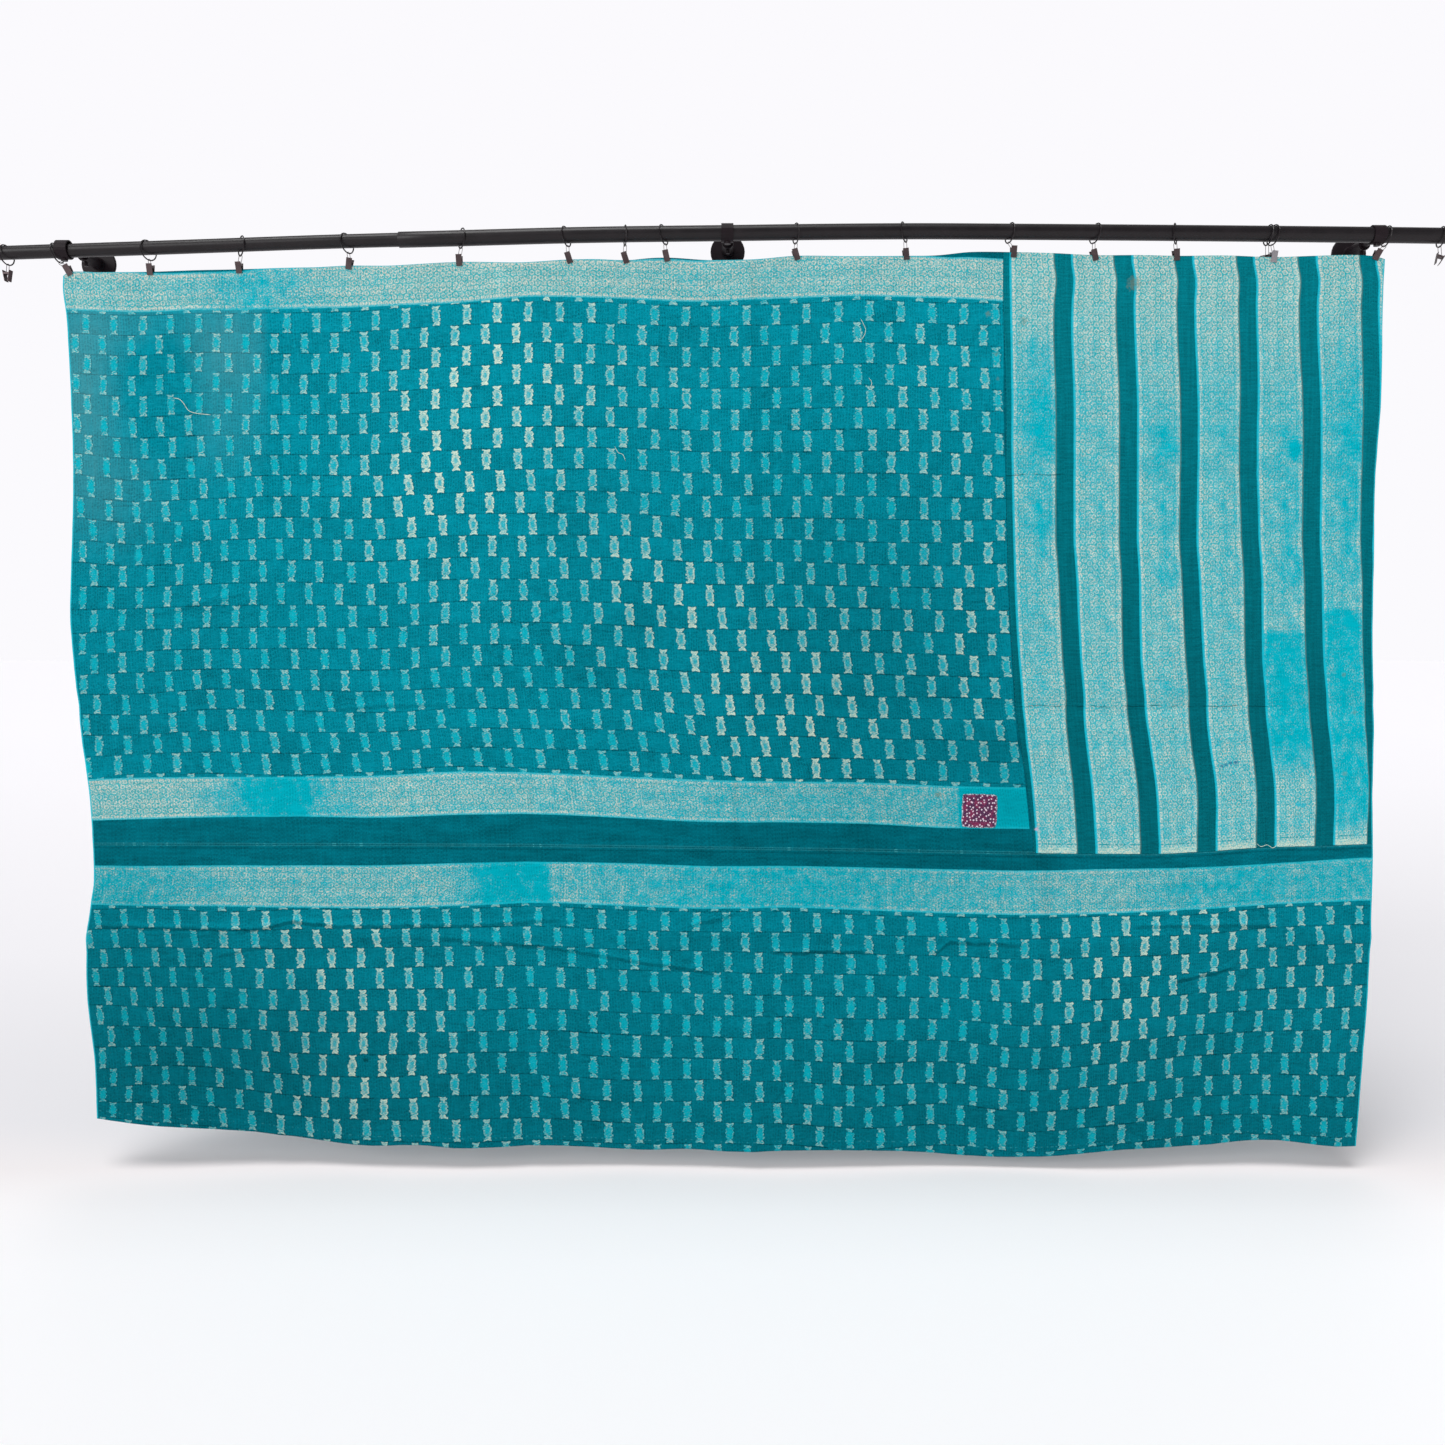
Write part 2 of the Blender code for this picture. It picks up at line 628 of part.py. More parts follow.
def clip_body():
    """The clip's side profile, jaws down, drawn out to its width. Its jaw tips are at the origin."""
    def inner(height):
        return JAW_OPEN + (LEVER_OPEN - JAW_OPEN) * height / CLIP_HEIGHT

    low, high = WEB
    right = (
        (inner(CLIP_HEIGHT), CLIP_HEIGHT), (inner(CLIP_HEIGHT) + CLIP_SHEET, CLIP_HEIGHT),
        (JAW_OPEN + CLIP_SHEET, 0), (JAW_OPEN, 0),
    )
    outline = [(inner(high), high), *right, (inner(low), low)]
    outline += [(-y, z) for y, z in reversed(outline)]
    curve = bpy.data.curves.new("clip", "CURVE")
    curve.dimensions = "2D"
    curve.fill_mode = "BOTH"
    curve.extrude = CLIP_WIDTH / 2 * MM
    spline = curve.splines.new("POLY")
    spline.points.add(len(outline) - 1)
    for point, (y, z) in zip(spline.points, outline):
        point.co = (y * MM, z * MM, 0.0, 1.0)
    spline.use_cyclic_u = True
    mesh = meshed(curve)
    mesh.transform(Matrix(((0, 0, 1, 0), (1, 0, 0, 0), (0, 1, 0, 0), (0, 0, 0, 1))))
    return mesh


def wire_eye(wire_at, web_at, across, wire_along):
    """A long wire eye: round the ring's wire at its head, into the clip's spring block at its foot."""
    up = (wire_at - web_at).normalized()
    side = (across - up * across.dot(up)).normalized()
    slant = math.sqrt(1 - up.dot(wire_along) ** 2)
    head = wire_at + up * ((RING_WIRE + FIT + FLATS + EYE_WIRE) / slant - EYE_RADIUS)
    foot = web_at + up * (EYE_RADIUS - 1.0)
    points = []
    for middle, first in ((head, 0), (foot, 180)):
        for step in range(5):
            angle = math.radians(first + 45 * step)
            points.append((middle + EYE_RADIUS * (side * math.cos(angle) + up * math.sin(angle))) * MM)
    return swept(points, EYE_WIRE * MM, 6, cyclic=True)


def clip(name, row, finish):
    x, turn, lean, jaw_x, jaw_z, clip_lean, clip_turn, jaw_back = row
    swing = Matrix.Rotation(-math.radians(clip_lean), 4, "Y")
    stand = swing @ Matrix.Rotation(math.radians(clip_turn), 4, "Z")
    jaws = Vector((jaw_x, HANGING_Y + jaw_back, jaw_z))
    if row[6] == 0:
        jaws.y -= relief(jaw_x, jaw_z)
    body = clip_body()
    body.transform(Matrix.Translation(jaws * MM) @ stand)
    web = jaws + stand.to_3x3() @ Vector((0, 0, sum(WEB) / 2))
    rotation = ring_turn(turn, lean).to_3x3()
    foot = ring_middle(x, turn, lean) + rotation @ Vector((0, 0, -RING_RADIUS))
    eye = wire_eye(foot, web, rotation @ Vector((1, 0, 0)), rotation @ Vector((0, 1, 0)))
    smooth(place(name, combined(body, eye, "UNION"), finish), 40)


def hardware():
    for number, row in enumerate(RINGS, start=1):
        ring(f"ring_{number:02d}", *row[:3])
        finish = "bright_clip" if number == SILVERED_CLIP else "bronzed_clip"
        clip(f"clip_{number:02d}", row, finish)


def build():
    clear_scene()
    collection = bpy.data.collections.new("kantha_quilt")
    bpy.context.scene.collection.children.link(collection)
    quilt_panels()
    patch()
    rod()
    for row in BRACKETS:
        bracket(*row)
    hardware()


build()
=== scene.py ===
# %% [markdown]
# # A kantha quilt on its curtain rod
# A kantha quilt is old saree cloth, several layers thick, held together by rows of running stitch.
# This one is pieced: a figured panel with light borders, a striped panel beside it, and a long figured
# panel below. It hangs by small clips from rings on a telescoping rod. The hard parts come from the CAD
# frame. This lesson makes the cloth, which is thin, creased and woven, and gives every piece its finish.

# %% Load the frame
import math

import bpy
import numpy as np
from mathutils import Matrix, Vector


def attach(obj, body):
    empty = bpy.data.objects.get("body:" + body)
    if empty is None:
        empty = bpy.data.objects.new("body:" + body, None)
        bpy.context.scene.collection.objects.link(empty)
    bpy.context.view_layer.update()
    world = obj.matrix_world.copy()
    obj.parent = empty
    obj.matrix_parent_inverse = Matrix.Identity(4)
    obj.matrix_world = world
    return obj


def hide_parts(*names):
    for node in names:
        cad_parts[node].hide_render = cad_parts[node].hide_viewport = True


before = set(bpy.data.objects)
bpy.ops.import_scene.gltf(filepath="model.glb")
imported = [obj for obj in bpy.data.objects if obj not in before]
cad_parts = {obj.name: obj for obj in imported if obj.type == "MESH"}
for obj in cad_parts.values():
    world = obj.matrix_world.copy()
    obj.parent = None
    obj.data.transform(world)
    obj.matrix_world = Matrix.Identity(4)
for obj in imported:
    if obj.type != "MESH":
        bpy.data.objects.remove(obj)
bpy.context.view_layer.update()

MM = 0.001
bpy.ops.object.select_all(action="DESELECT")

# %% [markdown]
# ## Camera, floor and light
# The camera comes first, because everything later is judged through it. It stands a little over two
# metres before the cloth, at about half its height, and looks down by four degrees. The room is a big
# pale floor just under the hem and a near-white surround. The floor's grey changes with its depth, and
# that is painted shade: a darker band painted just behind the quilt as its shadow, growing lighter
# further back, as on a paper sweep. The light is soft: an even surround, a key lamp from the left, a weak
# one from the right, one from above that lays a shadow under the hem, and one from behind that thins
# that shadow.

# %% Camera
CAMERA_PLACE = (-0.009, -2.240, -0.669)
CAMERA_DOWN = 3.97  # degrees
LENS_LENGTH = 31.14  # mm, before a sensor 36 mm wide

bpy.context.scene.view_settings.view_transform = "Standard"
lens = bpy.data.cameras.new("studio_camera")
lens.sensor_width = 36.0
lens.lens = LENS_LENGTH
lens.clip_end = 200.0
camera = bpy.data.objects.new("studio_camera", lens)
bpy.context.scene.collection.objects.link(camera)
camera.location = CAMERA_PLACE
camera.rotation_euler = (math.radians(90 - CAMERA_DOWN), 0, 0)
bpy.context.scene.camera = camera
print("camera at", tuple(camera.location), "lens", lens.lens, "mm")

# %% Floor and surround
FLOOR_Z = -1.6
bpy.ops.mesh.primitive_plane_add(size=90, location=(0, 0, FLOOR_Z))
floor = bpy.context.object
floor.name = "studio_floor"
pale_floor = bpy.data.materials.new("pale_floor")
pale_floor.use_nodes = True
floor.data.materials.append(pale_floor)
floor_nodes, floor_links = pale_floor.node_tree.nodes, pale_floor.node_tree.links
floor_shader = floor_nodes["Principled BSDF"]
floor_shader.inputs["Roughness"].default_value = 0.9
floor_shader.inputs["Specular IOR Level"].default_value = 0.1
place = floor_nodes.new("ShaderNodeTexCoord")
parted = floor_nodes.new("ShaderNodeSeparateXYZ")
spread = floor_nodes.new("ShaderNodeMapRange")
FLOOR_NEAR, FLOOR_FAR = -1.374, 9.79
spread.inputs["From Min"].default_value = FLOOR_NEAR
spread.inputs["From Max"].default_value = FLOOR_FAR
shade = floor_nodes.new("ShaderNodeValToRGB")
# Painted shade: the grey dips in a band just behind the rod, as the quilt's shadow, and grows lighter again
# further back.
FLOOR_GREYS = (  # metres behind the rod, grey
    (FLOOR_NEAR, 0.98), (-0.467, 0.98), (-0.293, 0.935), (-0.118, 0.815), (0.091, 0.765), (0.371, 0.775),
    (0.789, 0.805), (1.348, 0.845), (2.465, 0.865), (3.51, 0.88), (5.6, 0.905), (FLOOR_FAR, 0.92),
)
FRONT_WARMTH = 0.045
for depth, grey in FLOOR_GREYS[1:-1]:
    shade.color_ramp.elements.new((depth - FLOOR_NEAR) / (FLOOR_FAR - FLOOR_NEAR))
for stop, (depth, grey) in zip(shade.color_ramp.elements, FLOOR_GREYS):
    warm = FRONT_WARMTH if depth < 0 else 0.0
    stop.color = (grey, grey * (0.985 - warm * 0.5), grey * (1.015 - warm), 1)
floor_links.new(place.outputs["Object"], parted.inputs[0])
floor_links.new(parted.outputs["Y"], spread.inputs["Value"])
floor_links.new(spread.outputs["Result"], shade.inputs[0])
floor_links.new(shade.outputs[0], floor_shader.inputs["Base Color"])

world = bpy.data.worlds.new("white_room")
world.use_nodes = True
bpy.context.scene.world = world
room = world.node_tree
lit = room.nodes["Background"]
lit.inputs["Color"].default_value = (0.97, 0.97, 1.0, 1)
lit.inputs["Strength"].default_value = 0.30
seen = room.nodes.new("ShaderNodeBackground")
seen.inputs["Color"].default_value = (0.965, 0.955, 0.985, 1)
ray = room.nodes.new("ShaderNodeLightPath")
either = room.nodes.new("ShaderNodeMixShader")
room.links.new(ray.outputs["Is Camera Ray"], either.inputs[0])
room.links.new(lit.outputs[0], either.inputs[1])
room.links.new(seen.outputs[0], either.inputs[2])
room.links.new(either.outputs[0], room.nodes["World Output"].inputs["Surface"])
print("floor at", FLOOR_Z, "m")

# %% Lamps


def sun_lamp(name, comes_from, power, spread):
    """An even soft light. Its shadows are as soft as a lamp of that angle in degrees makes them."""
    lamp = bpy.data.lights.new(name, "SUN")
    lamp.energy = power
    lamp.angle = math.radians(spread)
    holder = bpy.data.objects.new(name, lamp)
    bpy.context.scene.collection.objects.link(holder)
    holder.rotation_euler = Vector(comes_from).to_track_quat("Z", "Y").to_euler()
    return holder


sun_lamp("key_lamp", (-0.58, -0.74, 0.34), 1.53, 34)
sun_lamp("fill_lamp", (0.75, -0.62, 0.25), 0.28, 40)
sun_lamp("overhead_lamp", (-0.20, -0.26, 1.0), 1.78, 30)
sun_lamp("back_lamp", (0.10, 0.74, 0.66), 0.35, 50)
print("lamps", [light.name for light in bpy.data.lights])

# %% [markdown]
# ## The lines of the cloth
# A hung quilt is never a flat rectangle. Its top sags between the clips, its seams lean, and its rows of
# figures wave with the sag. So the cloth is laid out from measured lines: each is a short table of real
# sizes in millimetres, and a smooth curve runs through its rows. These are the same lines as in the CAD
# source, so that the fine cloth lies on the same folds as the solids it stands for.

# %% Outline, seams and folds
TOP_EDGE = (  # x, z
    (-1110, -72), (-1096, -64), (-1041, -66), (-962, -64), (-890, -63), (-814, -60), (-696, -58),
    (-632, -54), (-555, -55), (-447, -48), (-346, -50), (-263, -44), (-168, -45), (-101, -41), (-30, -46),
    (40, -45), (115, -38), (203, -40), (297, -38), (350, -38), (406, -33), (475, -32), (540, -35),
    (612, -37), (676, -38), (747, -38), (830, -39), (907, -40), (990, -39), (1050, -37), (1078, -39),
    (1096, -44),
)
HEM_EDGE = (  # x, z
    (-1100, -1509), (-1009, -1520), (-835, -1536), (-678, -1556), (-626, -1559), (-538, -1556),
    (-468, -1561), (-311, -1559), (-153, -1568), (-66, -1565), (4, -1568), (127, -1565), (302, -1570),
    (442, -1579), (547, -1577), (634, -1568), (686, -1563), (826, -1559), (948, -1550), (1054, -1558),
    (1097, -1558),
)
LEFT_EDGE = (  # z, x
    (-72, -1108), (-94, -1109), (-143, -1104), (-274, -1101), (-407, -1102), (-541, -1110), (-642, -1116),
    (-744, -1111), (-847, -1104), (-950, -1094), (-1089, -1092), (-1124, -1098), (-1194, -1108),
    (-1299, -1110), (-1406, -1101), (-1509, -1100),
)
RIGHT_EDGE = (  # z, x
    (-44, 1094), (-110, 1093), (-274, 1096), (-407, 1091), (-541, 1094), (-676, 1097), (-813, 1105),
    (-950, 1107), (-1054, 1111), (-1194, 1111), (-1299, 1109), (-1406, 1104), (-1558, 1097),
)
DOWN_SEAM = (  # z, x
    (-33, 458), (-110, 459), (-255, 466), (-455, 470), (-600, 477), (-790, 492), (-905, 509), (-1042, 527),
    (-1300, 540), (-1580, 548),
)
ACROSS_SEAM = (  # x, z
    (-1095, -1026), (-736, -1027), (-306, -1029), (124, -1035), (527, -1042), (740, -1043), (813, -1040),
    (911, -1033), (1012, -1030), (1110, -1026),
)
PRESS_FOLDS = (  # x at the top, x at the hem, half width, rise
    (-778, -790, 34, 3.0), (-362, -350, 36, -3.5), (36, 44, 34, 3.0), (790, 800, 40, -2.5),
)
CROSS_FOLDS = (  # z, half height, rise
    (-788, 30, -3.0), (-1188, 28, 3.5),
)
SWELLS = (  # x, z, reach across, reach down, rise
    (-960, -420, 170, 320, 5.0), (-600, -760, 210, 260, -6.0), (-180, -480, 240, 330, 5.0),
    (260, -830, 230, 260, -4.0), (700, -520, 190, 380, 5.0), (980, -860, 150, 260, -5.0),
    (-820, -1380, 180, 180, -6.0), (520, -1400, 230, 170, 5.0),
)
FLUTES = (  # x, half width, rise at the hem
    (-1010, 120, 7.0), (-760, 140, -7.0), (-480, 150, 6.0), (-190, 150, -6.0), (90, 140, 6.0),
    (380, 150, -7.0), (660, 130, 7.0), (900, 120, -6.0), (1060, 80, 5.0),
)
CLIPS_AT = (  # x of each clip that grips the cloth
    -1094.5, -962, -813.5, -632, -447, -262, -168, -100.5, 116, 297.5, 475, 612.5, 747, 907.5, 1076,
)
HANGING_Y = -110.0
CLOTH_THICK = 3.0
SEAM_GAP = 0.4
FLUTE_START = -1080.0
BILLOW_RISE = 5.0
BILLOW_REACH = 110.0
FREE_BELOW = 130.0
TOP_LEFT, TOP_SEAM, TOP_RIGHT = -72.0, -33.0, -44.0  # heights where the side lines start
SEAM_LEVEL, HEM_LEVEL = -1035.0, -1560.0  # about how high the long seam and the hem are
UPPER_DROP, LOWER_DROP = 985.0, 525.0  # the flat lengths of the cloth above and below the long seam
FOLD_DROP = 1500  # the length of cloth over which a pressed fold leans from its top place to its foot
FOLD_SOFTNESS = 0.004
NARROW_SPAN = 150  # clips closer than this let the cloth bow out less between them


def along(table, at):
    """The value of a two-column table at many places, on a smooth line through its rows."""
    rows = np.array(sorted(table), float)
    place, value = rows[:, 0], rows[:, 1]
    at = np.clip(at, place[0], place[-1])
    index = np.clip(np.searchsorted(place, at, side="right") - 1, 0, len(place) - 2)
    before, after = np.maximum(index - 1, 0), np.minimum(index + 2, len(place) - 1)
    span = place[index + 1] - place[index]
    share = (at - place[index]) / span
    slope_in = (value[index + 1] - value[before]) / (place[index + 1] - place[before]) * span
    slope_out = (value[after] - value[index]) / (place[after] - place[index]) * span
    return (
        (2 * share**3 - 3 * share**2 + 1) * value[index] + (share**3 - 2 * share**2 + share) * slope_in
        + (3 * share**2 - 2 * share**3) * value[index + 1] + (share**3 - share**2) * slope_out
    )


def eased(share):
    """0 to 1 with a soft start and end."""
    share = np.clip(share, 0.0, 1.0)
    return share * share * (3 - 2 * share)


sag = along(TOP_EDGE, 116.0) - along(TOP_EDGE, -30.0)
print("top edge", len(TOP_EDGE), "points; it sags by", sag, "mm beside the middle bracket")

# %% [markdown]
# ## Where the cloth stands in space
# A point of the cloth is found from its column, which starts at the top edge, and its row, which is 0 at
# the top, 1 at the long seam and 2 at the hem. Its depth is the relief: creases left from folding it
# away, soft swells, waves that open towards the hem, a bow between two clips, and the small puckers that
# rows of hand stitching pull into the layers.

# %% Relief


def relief(x, z):
    """How far the cloth stands towards the viewer from its hanging plane, mm."""
    below_top = np.maximum(along(TOP_EDGE, x) - z, 0.0)
    rise = np.zeros_like(x)
    for fold_top, fold_foot, half_width, fold_rise in PRESS_FOLDS:
        off = (x - fold_top - (fold_foot - fold_top) * below_top / FOLD_DROP) / half_width
        rise += fold_rise * np.maximum(0.0, 1 - np.sqrt(off**2 + FOLD_SOFTNESS))
    for fold_z, half_height, fold_rise in CROSS_FOLDS:
        off = (z - fold_z) / half_height
        rise += fold_rise * np.maximum(0.0, 1 - np.sqrt(off**2 + FOLD_SOFTNESS))
    for swell_x, swell_z, across, down, swell_rise in SWELLS:
        rise += swell_rise * np.exp(-(((x - swell_x) / across) ** 2) - ((z - swell_z) / down) ** 2)
    opened = eased((FLUTE_START - z) / (FLUTE_START - along(HEM_EDGE, x)))
    for flute_x, half_width, flute_rise in FLUTES:
        rise += flute_rise * opened * np.exp(-(((x - flute_x) / half_width) ** 2) * 1.6)
    rise = rise * eased(below_top / FREE_BELOW)
    for left, right in zip(CLIPS_AT, CLIPS_AT[1:]):
        share = np.clip((x - left) / (right - left), 0, 1)
        size = BILLOW_RISE * min(1.0, (right - left) / NARROW_SPAN)
        rise += size * np.sin(math.pi * share) ** 2 * np.exp(-below_top / BILLOW_REACH)
    return rise


PUCKER_LINES = (  # x, z, reach across, reach down, slope, rise: short wrinkles below the long light band
    (-840, -1176, 150, 7, 0.03, 1.6), (-560, -1186, 170, 8, -0.02, 1.4), (-250, -1206, 120, 7, 0.05, -1.5),
    (40, -1182, 160, 8, -0.03, 1.5), (330, -1200, 140, 7, 0.02, -1.4), (-700, -1216, 120, 8, 0.04, -1.2),
    (880, -1172, 120, 7, -0.04, 1.3), (620, -1210, 110, 8, 0.05, 1.0), (-930, -1000, 130, 7, 0.02, -1.3),
    (-400, -1004, 190, 7, -0.02, 1.2), (180, -1012, 170, 7, 0.02, -1.1), (800, -398, 190, 9, 0.0, -1.6),
    (700, -792, 230, 8, 0.01, -1.8), (-980, -505, 120, 9, -0.05, -1.2), (-860, -620, 110, 8, 0.08, -1.2),
)


def puckers(x, z):
    """The small ripples that rows of hand stitching pull into the layers, mm."""
    below_top = np.maximum(along(TOP_EDGE, x) - z, 0.0)
    ripple = 0.30 * np.sin(x / 5.1 + 2.2 * np.sin(z / 47)) * np.sin(z / 8.3 + 1.7 * np.sin(x / 61))
    ripple += 0.35 * np.sin(x / 13.7 + 1.9 * np.sin(z / 83 + 1)) * np.sin(z / 21.1 + 2.3 * np.sin(x / 97))
    for place, height, across, down, slope, rise in PUCKER_LINES:
        off = z - height - slope * (x - place) - 4 * np.sin((x - place) / 38)
        ripple += rise * np.exp(-((off / down) ** 2) - ((x - place) / across) ** 2)
    return ripple * eased(below_top / 60)


def column_x(column, z):
    """The x of a column at a height: columns spread between the side edges and the seam line."""
    left, seam, right = along(LEFT_EDGE, TOP_LEFT), along(DOWN_SEAM, TOP_SEAM), along(RIGHT_EDGE, TOP_RIGHT)
    beside_left = along(LEFT_EDGE, z), along(DOWN_SEAM, z), (column - left) / (seam - left)
    beside_right = along(DOWN_SEAM, z), along(RIGHT_EDGE, z), (column - seam) / (right - seam)
    on_left = column <= seam
    start, end, share = (np.where(on_left, a, b) for a, b in zip(beside_left, beside_right))
    return start + (end - start) * share


def cloth_point(column, row):
    """The (x, z) of the cloth's middle at a column and a share down it, mm."""
    seam_z = along(ACROSS_SEAM, column_x(column, SEAM_LEVEL))
    hem_z = along(HEM_EDGE, column_x(column, HEM_LEVEL))
    upper = along(TOP_EDGE, column) * (1 - row) + seam_z * row
    lower = seam_z * (2 - row) + hem_z * (row - 1)
    z = np.where(row <= 1, upper, lower)
    return column_x(column, z), z


left_column = along(LEFT_EDGE, TOP_LEFT)
seam_column = along(DOWN_SEAM, TOP_SEAM)
right_column = along(RIGHT_EDGE, TOP_RIGHT)
print("columns from", left_column, "to", right_column, "with the seam at", seam_column)

# %% [markdown]
# ## A panel as a thin closed sheet
# Each panel is a grid of small quads for the face, a second grid for the back, and a strip round the rim.
# The two grids come together a little at an outer edge, where the real layers are folded in and sewn,
# and stay a full thickness apart at a seam. Close columns beside the edges keep that roll round. Its
# pattern will need to know where each point is on the cloth, so the grid's column and row are kept.

# %% Sheets
GRID_PITCH = 6.4
EDGE_STEPS = (0.0, 0.8, 2.0, 4.0)


def steps(start, end, edge_at_start, edge_at_end):
    """Places from start to end about one grid pitch apart, closer at an outer edge."""
    count = round(abs(end - start) / GRID_PITCH)
    places = np.linspace(start, end, count + 1)
    way = np.sign(end - start)
    if edge_at_start:
        places = np.concatenate([start + way * np.array(EDGE_STEPS), places[1:]])
    if edge_at_end:
        places = np.concatenate([places[:-1], end - way * np.array(EDGE_STEPS[::-1])])
    return places


def new_piece(name, points, faces, finishes):
    """A smooth piece from points in mm and faces, with its finishes."""
    mesh = bpy.data.meshes.new(name)
    mesh.from_pydata((points * MM).tolist(), [], faces)
    mesh.shade_smooth()
    for finish in finishes:
        mesh.materials.append(finish)
    obj = bpy.data.objects.new(name, mesh)
    bpy.context.scene.collection.objects.link(obj)
    return obj


def sheet_mesh(name, front, back, finishes):
    """A closed sheet from two grids of points. Its face takes one finish, its back and rim the other."""
    down, across = front.shape[:2]
    index = np.arange(down * across).reshape(down, across)
    face = np.stack([index[:-1, :-1], index[1:, :-1], index[1:, 1:], index[:-1, 1:]], -1).reshape(-1, 4)
    ring = np.concatenate([index[0, :-1], index[:-1, -1], index[-1, :0:-1], index[:0:-1, 0]])
    following = np.roll(ring, -1)
    behind = down * across
    rim = np.stack([ring, following, following + behind, ring + behind], -1)
    faces = np.concatenate([face, face[:, ::-1] + behind, rim])
    points = np.concatenate([front.reshape(-1, 3), back.reshape(-1, 3)])
    obj = new_piece(name, points, faces.tolist(), finishes)
    behind_face = np.arange(len(faces)) >= len(face)
    obj.data.polygons.foreach_set("material_index", behind_face.astype(np.int32))
    obj.data.set_sharp_from_angle(angle=math.radians(70))
    return obj


def rolled(distance):
    """Half the cloth's thickness at a distance in from an outer edge, mm."""
    share = 1 - np.clip(distance / EDGE_STEPS[-1], 0, 1)
    return CLOTH_THICK / 2 * (0.35 + 0.65 * np.sqrt(1 - share**2))


def panel(name, columns, rows, finishes, at_seam, seam_shift):
    """One panel of the quilt over some columns and rows, drawn back from its seams by half their gap."""
    column, row = np.meshgrid(columns, rows)
    x, z = cloth_point(column, row)
    top, hem = along(TOP_EDGE, column), along(HEM_EDGE, column_x(column, HEM_LEVEL))
    from_side = np.minimum(x - column_x(left_column, z), column_x(right_column, z) - x)
    half = rolled(np.minimum.reduce([from_side, np.abs(z - top), np.abs(z - hem)]))
    middle = HANGING_Y - relief(x, z) - puckers(x, z)
    x = x + np.where(column == seam_column, at_seam, 0.0)
    z = z + np.where(row == 1, seam_shift, 0.0)
    front, back = (np.stack([x, middle + side * half, z], -1) for side in (-1, 1))
    obj = sheet_mesh(name, front, back, finishes)
    seam_z = along(ACROSS_SEAM, x)
    down = np.where(row <= 1, row * UPPER_DROP, UPPER_DROP + (row - 1) * LOWER_DROP)
    keep_vector(obj, "lay", column, down, from_side)
    print(name, len(obj.data.polygons), "faces, columns", len(columns), "rows", len(rows))
    return obj, x, z, seam_z


def keep_vector(obj, name, *parts):
    """Keeps three numbers of each point of a sheet as an attribute, the same on its face and back."""
    both = np.tile(np.stack([np.broadcast_to(p, parts[0].shape).ravel() for p in parts], -1), (2, 1))
    made = obj.data.attributes.new(name, "FLOAT_VECTOR", "POINT")
    made.data.foreach_set("vector", both.astype(np.float32).ravel())


# %% [markdown]
# ## Where the pattern lies
# The figures are woven in rows. Each second row is shifted by six tenths of a figure. The lines below say
# where the rows and columns of figures run on the hung cloth, in millimetres. From them every point of the
# cloth gets a column number and a row number, and the shader draws one figure in each cell. The light
# and dark bands are kept as signed distances to their edges, because a distance stays sharp between
# the grid's points where a painted mask would blur.

# %% Rows and columns of figures
UPPER_AT = (-1100, -1000, -880, -740, -600, -460, -320, -180, -40, 100, 240, 380, 510)
UPPER_ROWS = {  # z of a row at each of those places
    0.5: (-132, -136, -133, -132, -128, -118, -113, -116, -121, -117, -111, -116, -115),
    4: (-247, -252, -245, -249, -245, -237, -231, -235, -238, -235, -232, -237, -242),
    8: (-379, -390, -387, -382, -382, -375, -371, -372, -378, -379, -377, -380, -387),
    12: (-525, -533, -526, -522, -525, -518, -518, -519, -526, -525, -530, -531, -525),
    16: (-685, -677, -674, -673, -673, -667, -665, -670, -676, -678, -678, -683, -686),
    19.5: (-802, -804, -794, -797, -800, -793, -794, -794, -805, -804, -810, -811, -813),
    22.5: (-913, -904, -904, -907, -901, -892, -896, -900, -907, -913, -914, -918, -923),
}
BORDER_FOOT = (-126, -130, -127, -125, -121, -115, -105, -108, -113, -107, -104, -108, -115)
BAND_ONE_TOP = (-915, -912, -911, -911, -909, -902, -904, -910, -916, -919, -921, -927, -929)
BAND_ONE_FOOT = (-985, -982, -979, -978, -980, -975, -974, -980, -987, -988, -991, -998, -999)
UPPER_HEIGHTS = (-910, -720, -530, -330, -130)
UPPER_COLUMNS = {  # x of a column of figures at each of those heights
    1: (-1074, -1077, -1071, -1073, -1071), 5: (-868, -885, -878, -885, -882),
    9: (-666, -687, -693, -694, -686), 13: (-456, -479, -478, -490, -487),
    17: (-240, -267, -277, -282, -281), 21: (-31, -55, -64, -69, -70),
    25: (173, 151, 138, 134, 131), 29: (392, 366, 354, 350, 341), 32: (546, 529, 516, 508, 499),
}
LOWER_AT = (-1100, -1000, -880, -740, -600, -460, -320, -180, -40, 100, 240, 380, 520, 660, 800, 940, 1090)
BAND_TWO_TOP = (
    -1064, -1065, -1064, -1064, -1064, -1060, -1058, -1060, -1065, -1065, -1068, -1071,
    -1073, -1070, -1068, -1061, -1051,
)
BAND_TWO_FOOT = (
    -1131, -1133, -1134, -1136, -1137, -1133, -1128, -1133, -1138, -1136, -1141, -1146,
    -1149, -1146, -1140, -1131, -1124,
)
LOWER_ROWS = {
    0.5: (-1140, -1138, -1144, -1140, -1140, -1138, -1135, -1141, -1144, -1143, -1150, -1153,
        -1155, -1151, -1150, -1137, -1133),
    3: (-1226, -1223, -1224, -1226, -1223, -1220, -1221, -1227, -1230, -1233, -1235, -1239,
        -1244, -1240, -1235, -1223, -1215),
    6: (-1323, -1328, -1333, -1339, -1337, -1336, -1333, -1341, -1345, -1347, -1352, -1352,
        -1363, -1352, -1343, -1336, -1329),
    9: (-1441, -1431, -1439, -1455, -1455, -1446, -1452, -1463, -1459, -1461, -1470, -1466,
        -1478, -1466, -1454, -1451, -1452),
    11.5: (-1504, -1513, -1527, -1546, -1550, -1550, -1548, -1557, -1554, -1554, -1565, -1559,
        -1569, -1554, -1542, -1539, -1542),
}
LOWER_HEIGHTS = (-1550, -1420, -1280, -1130)
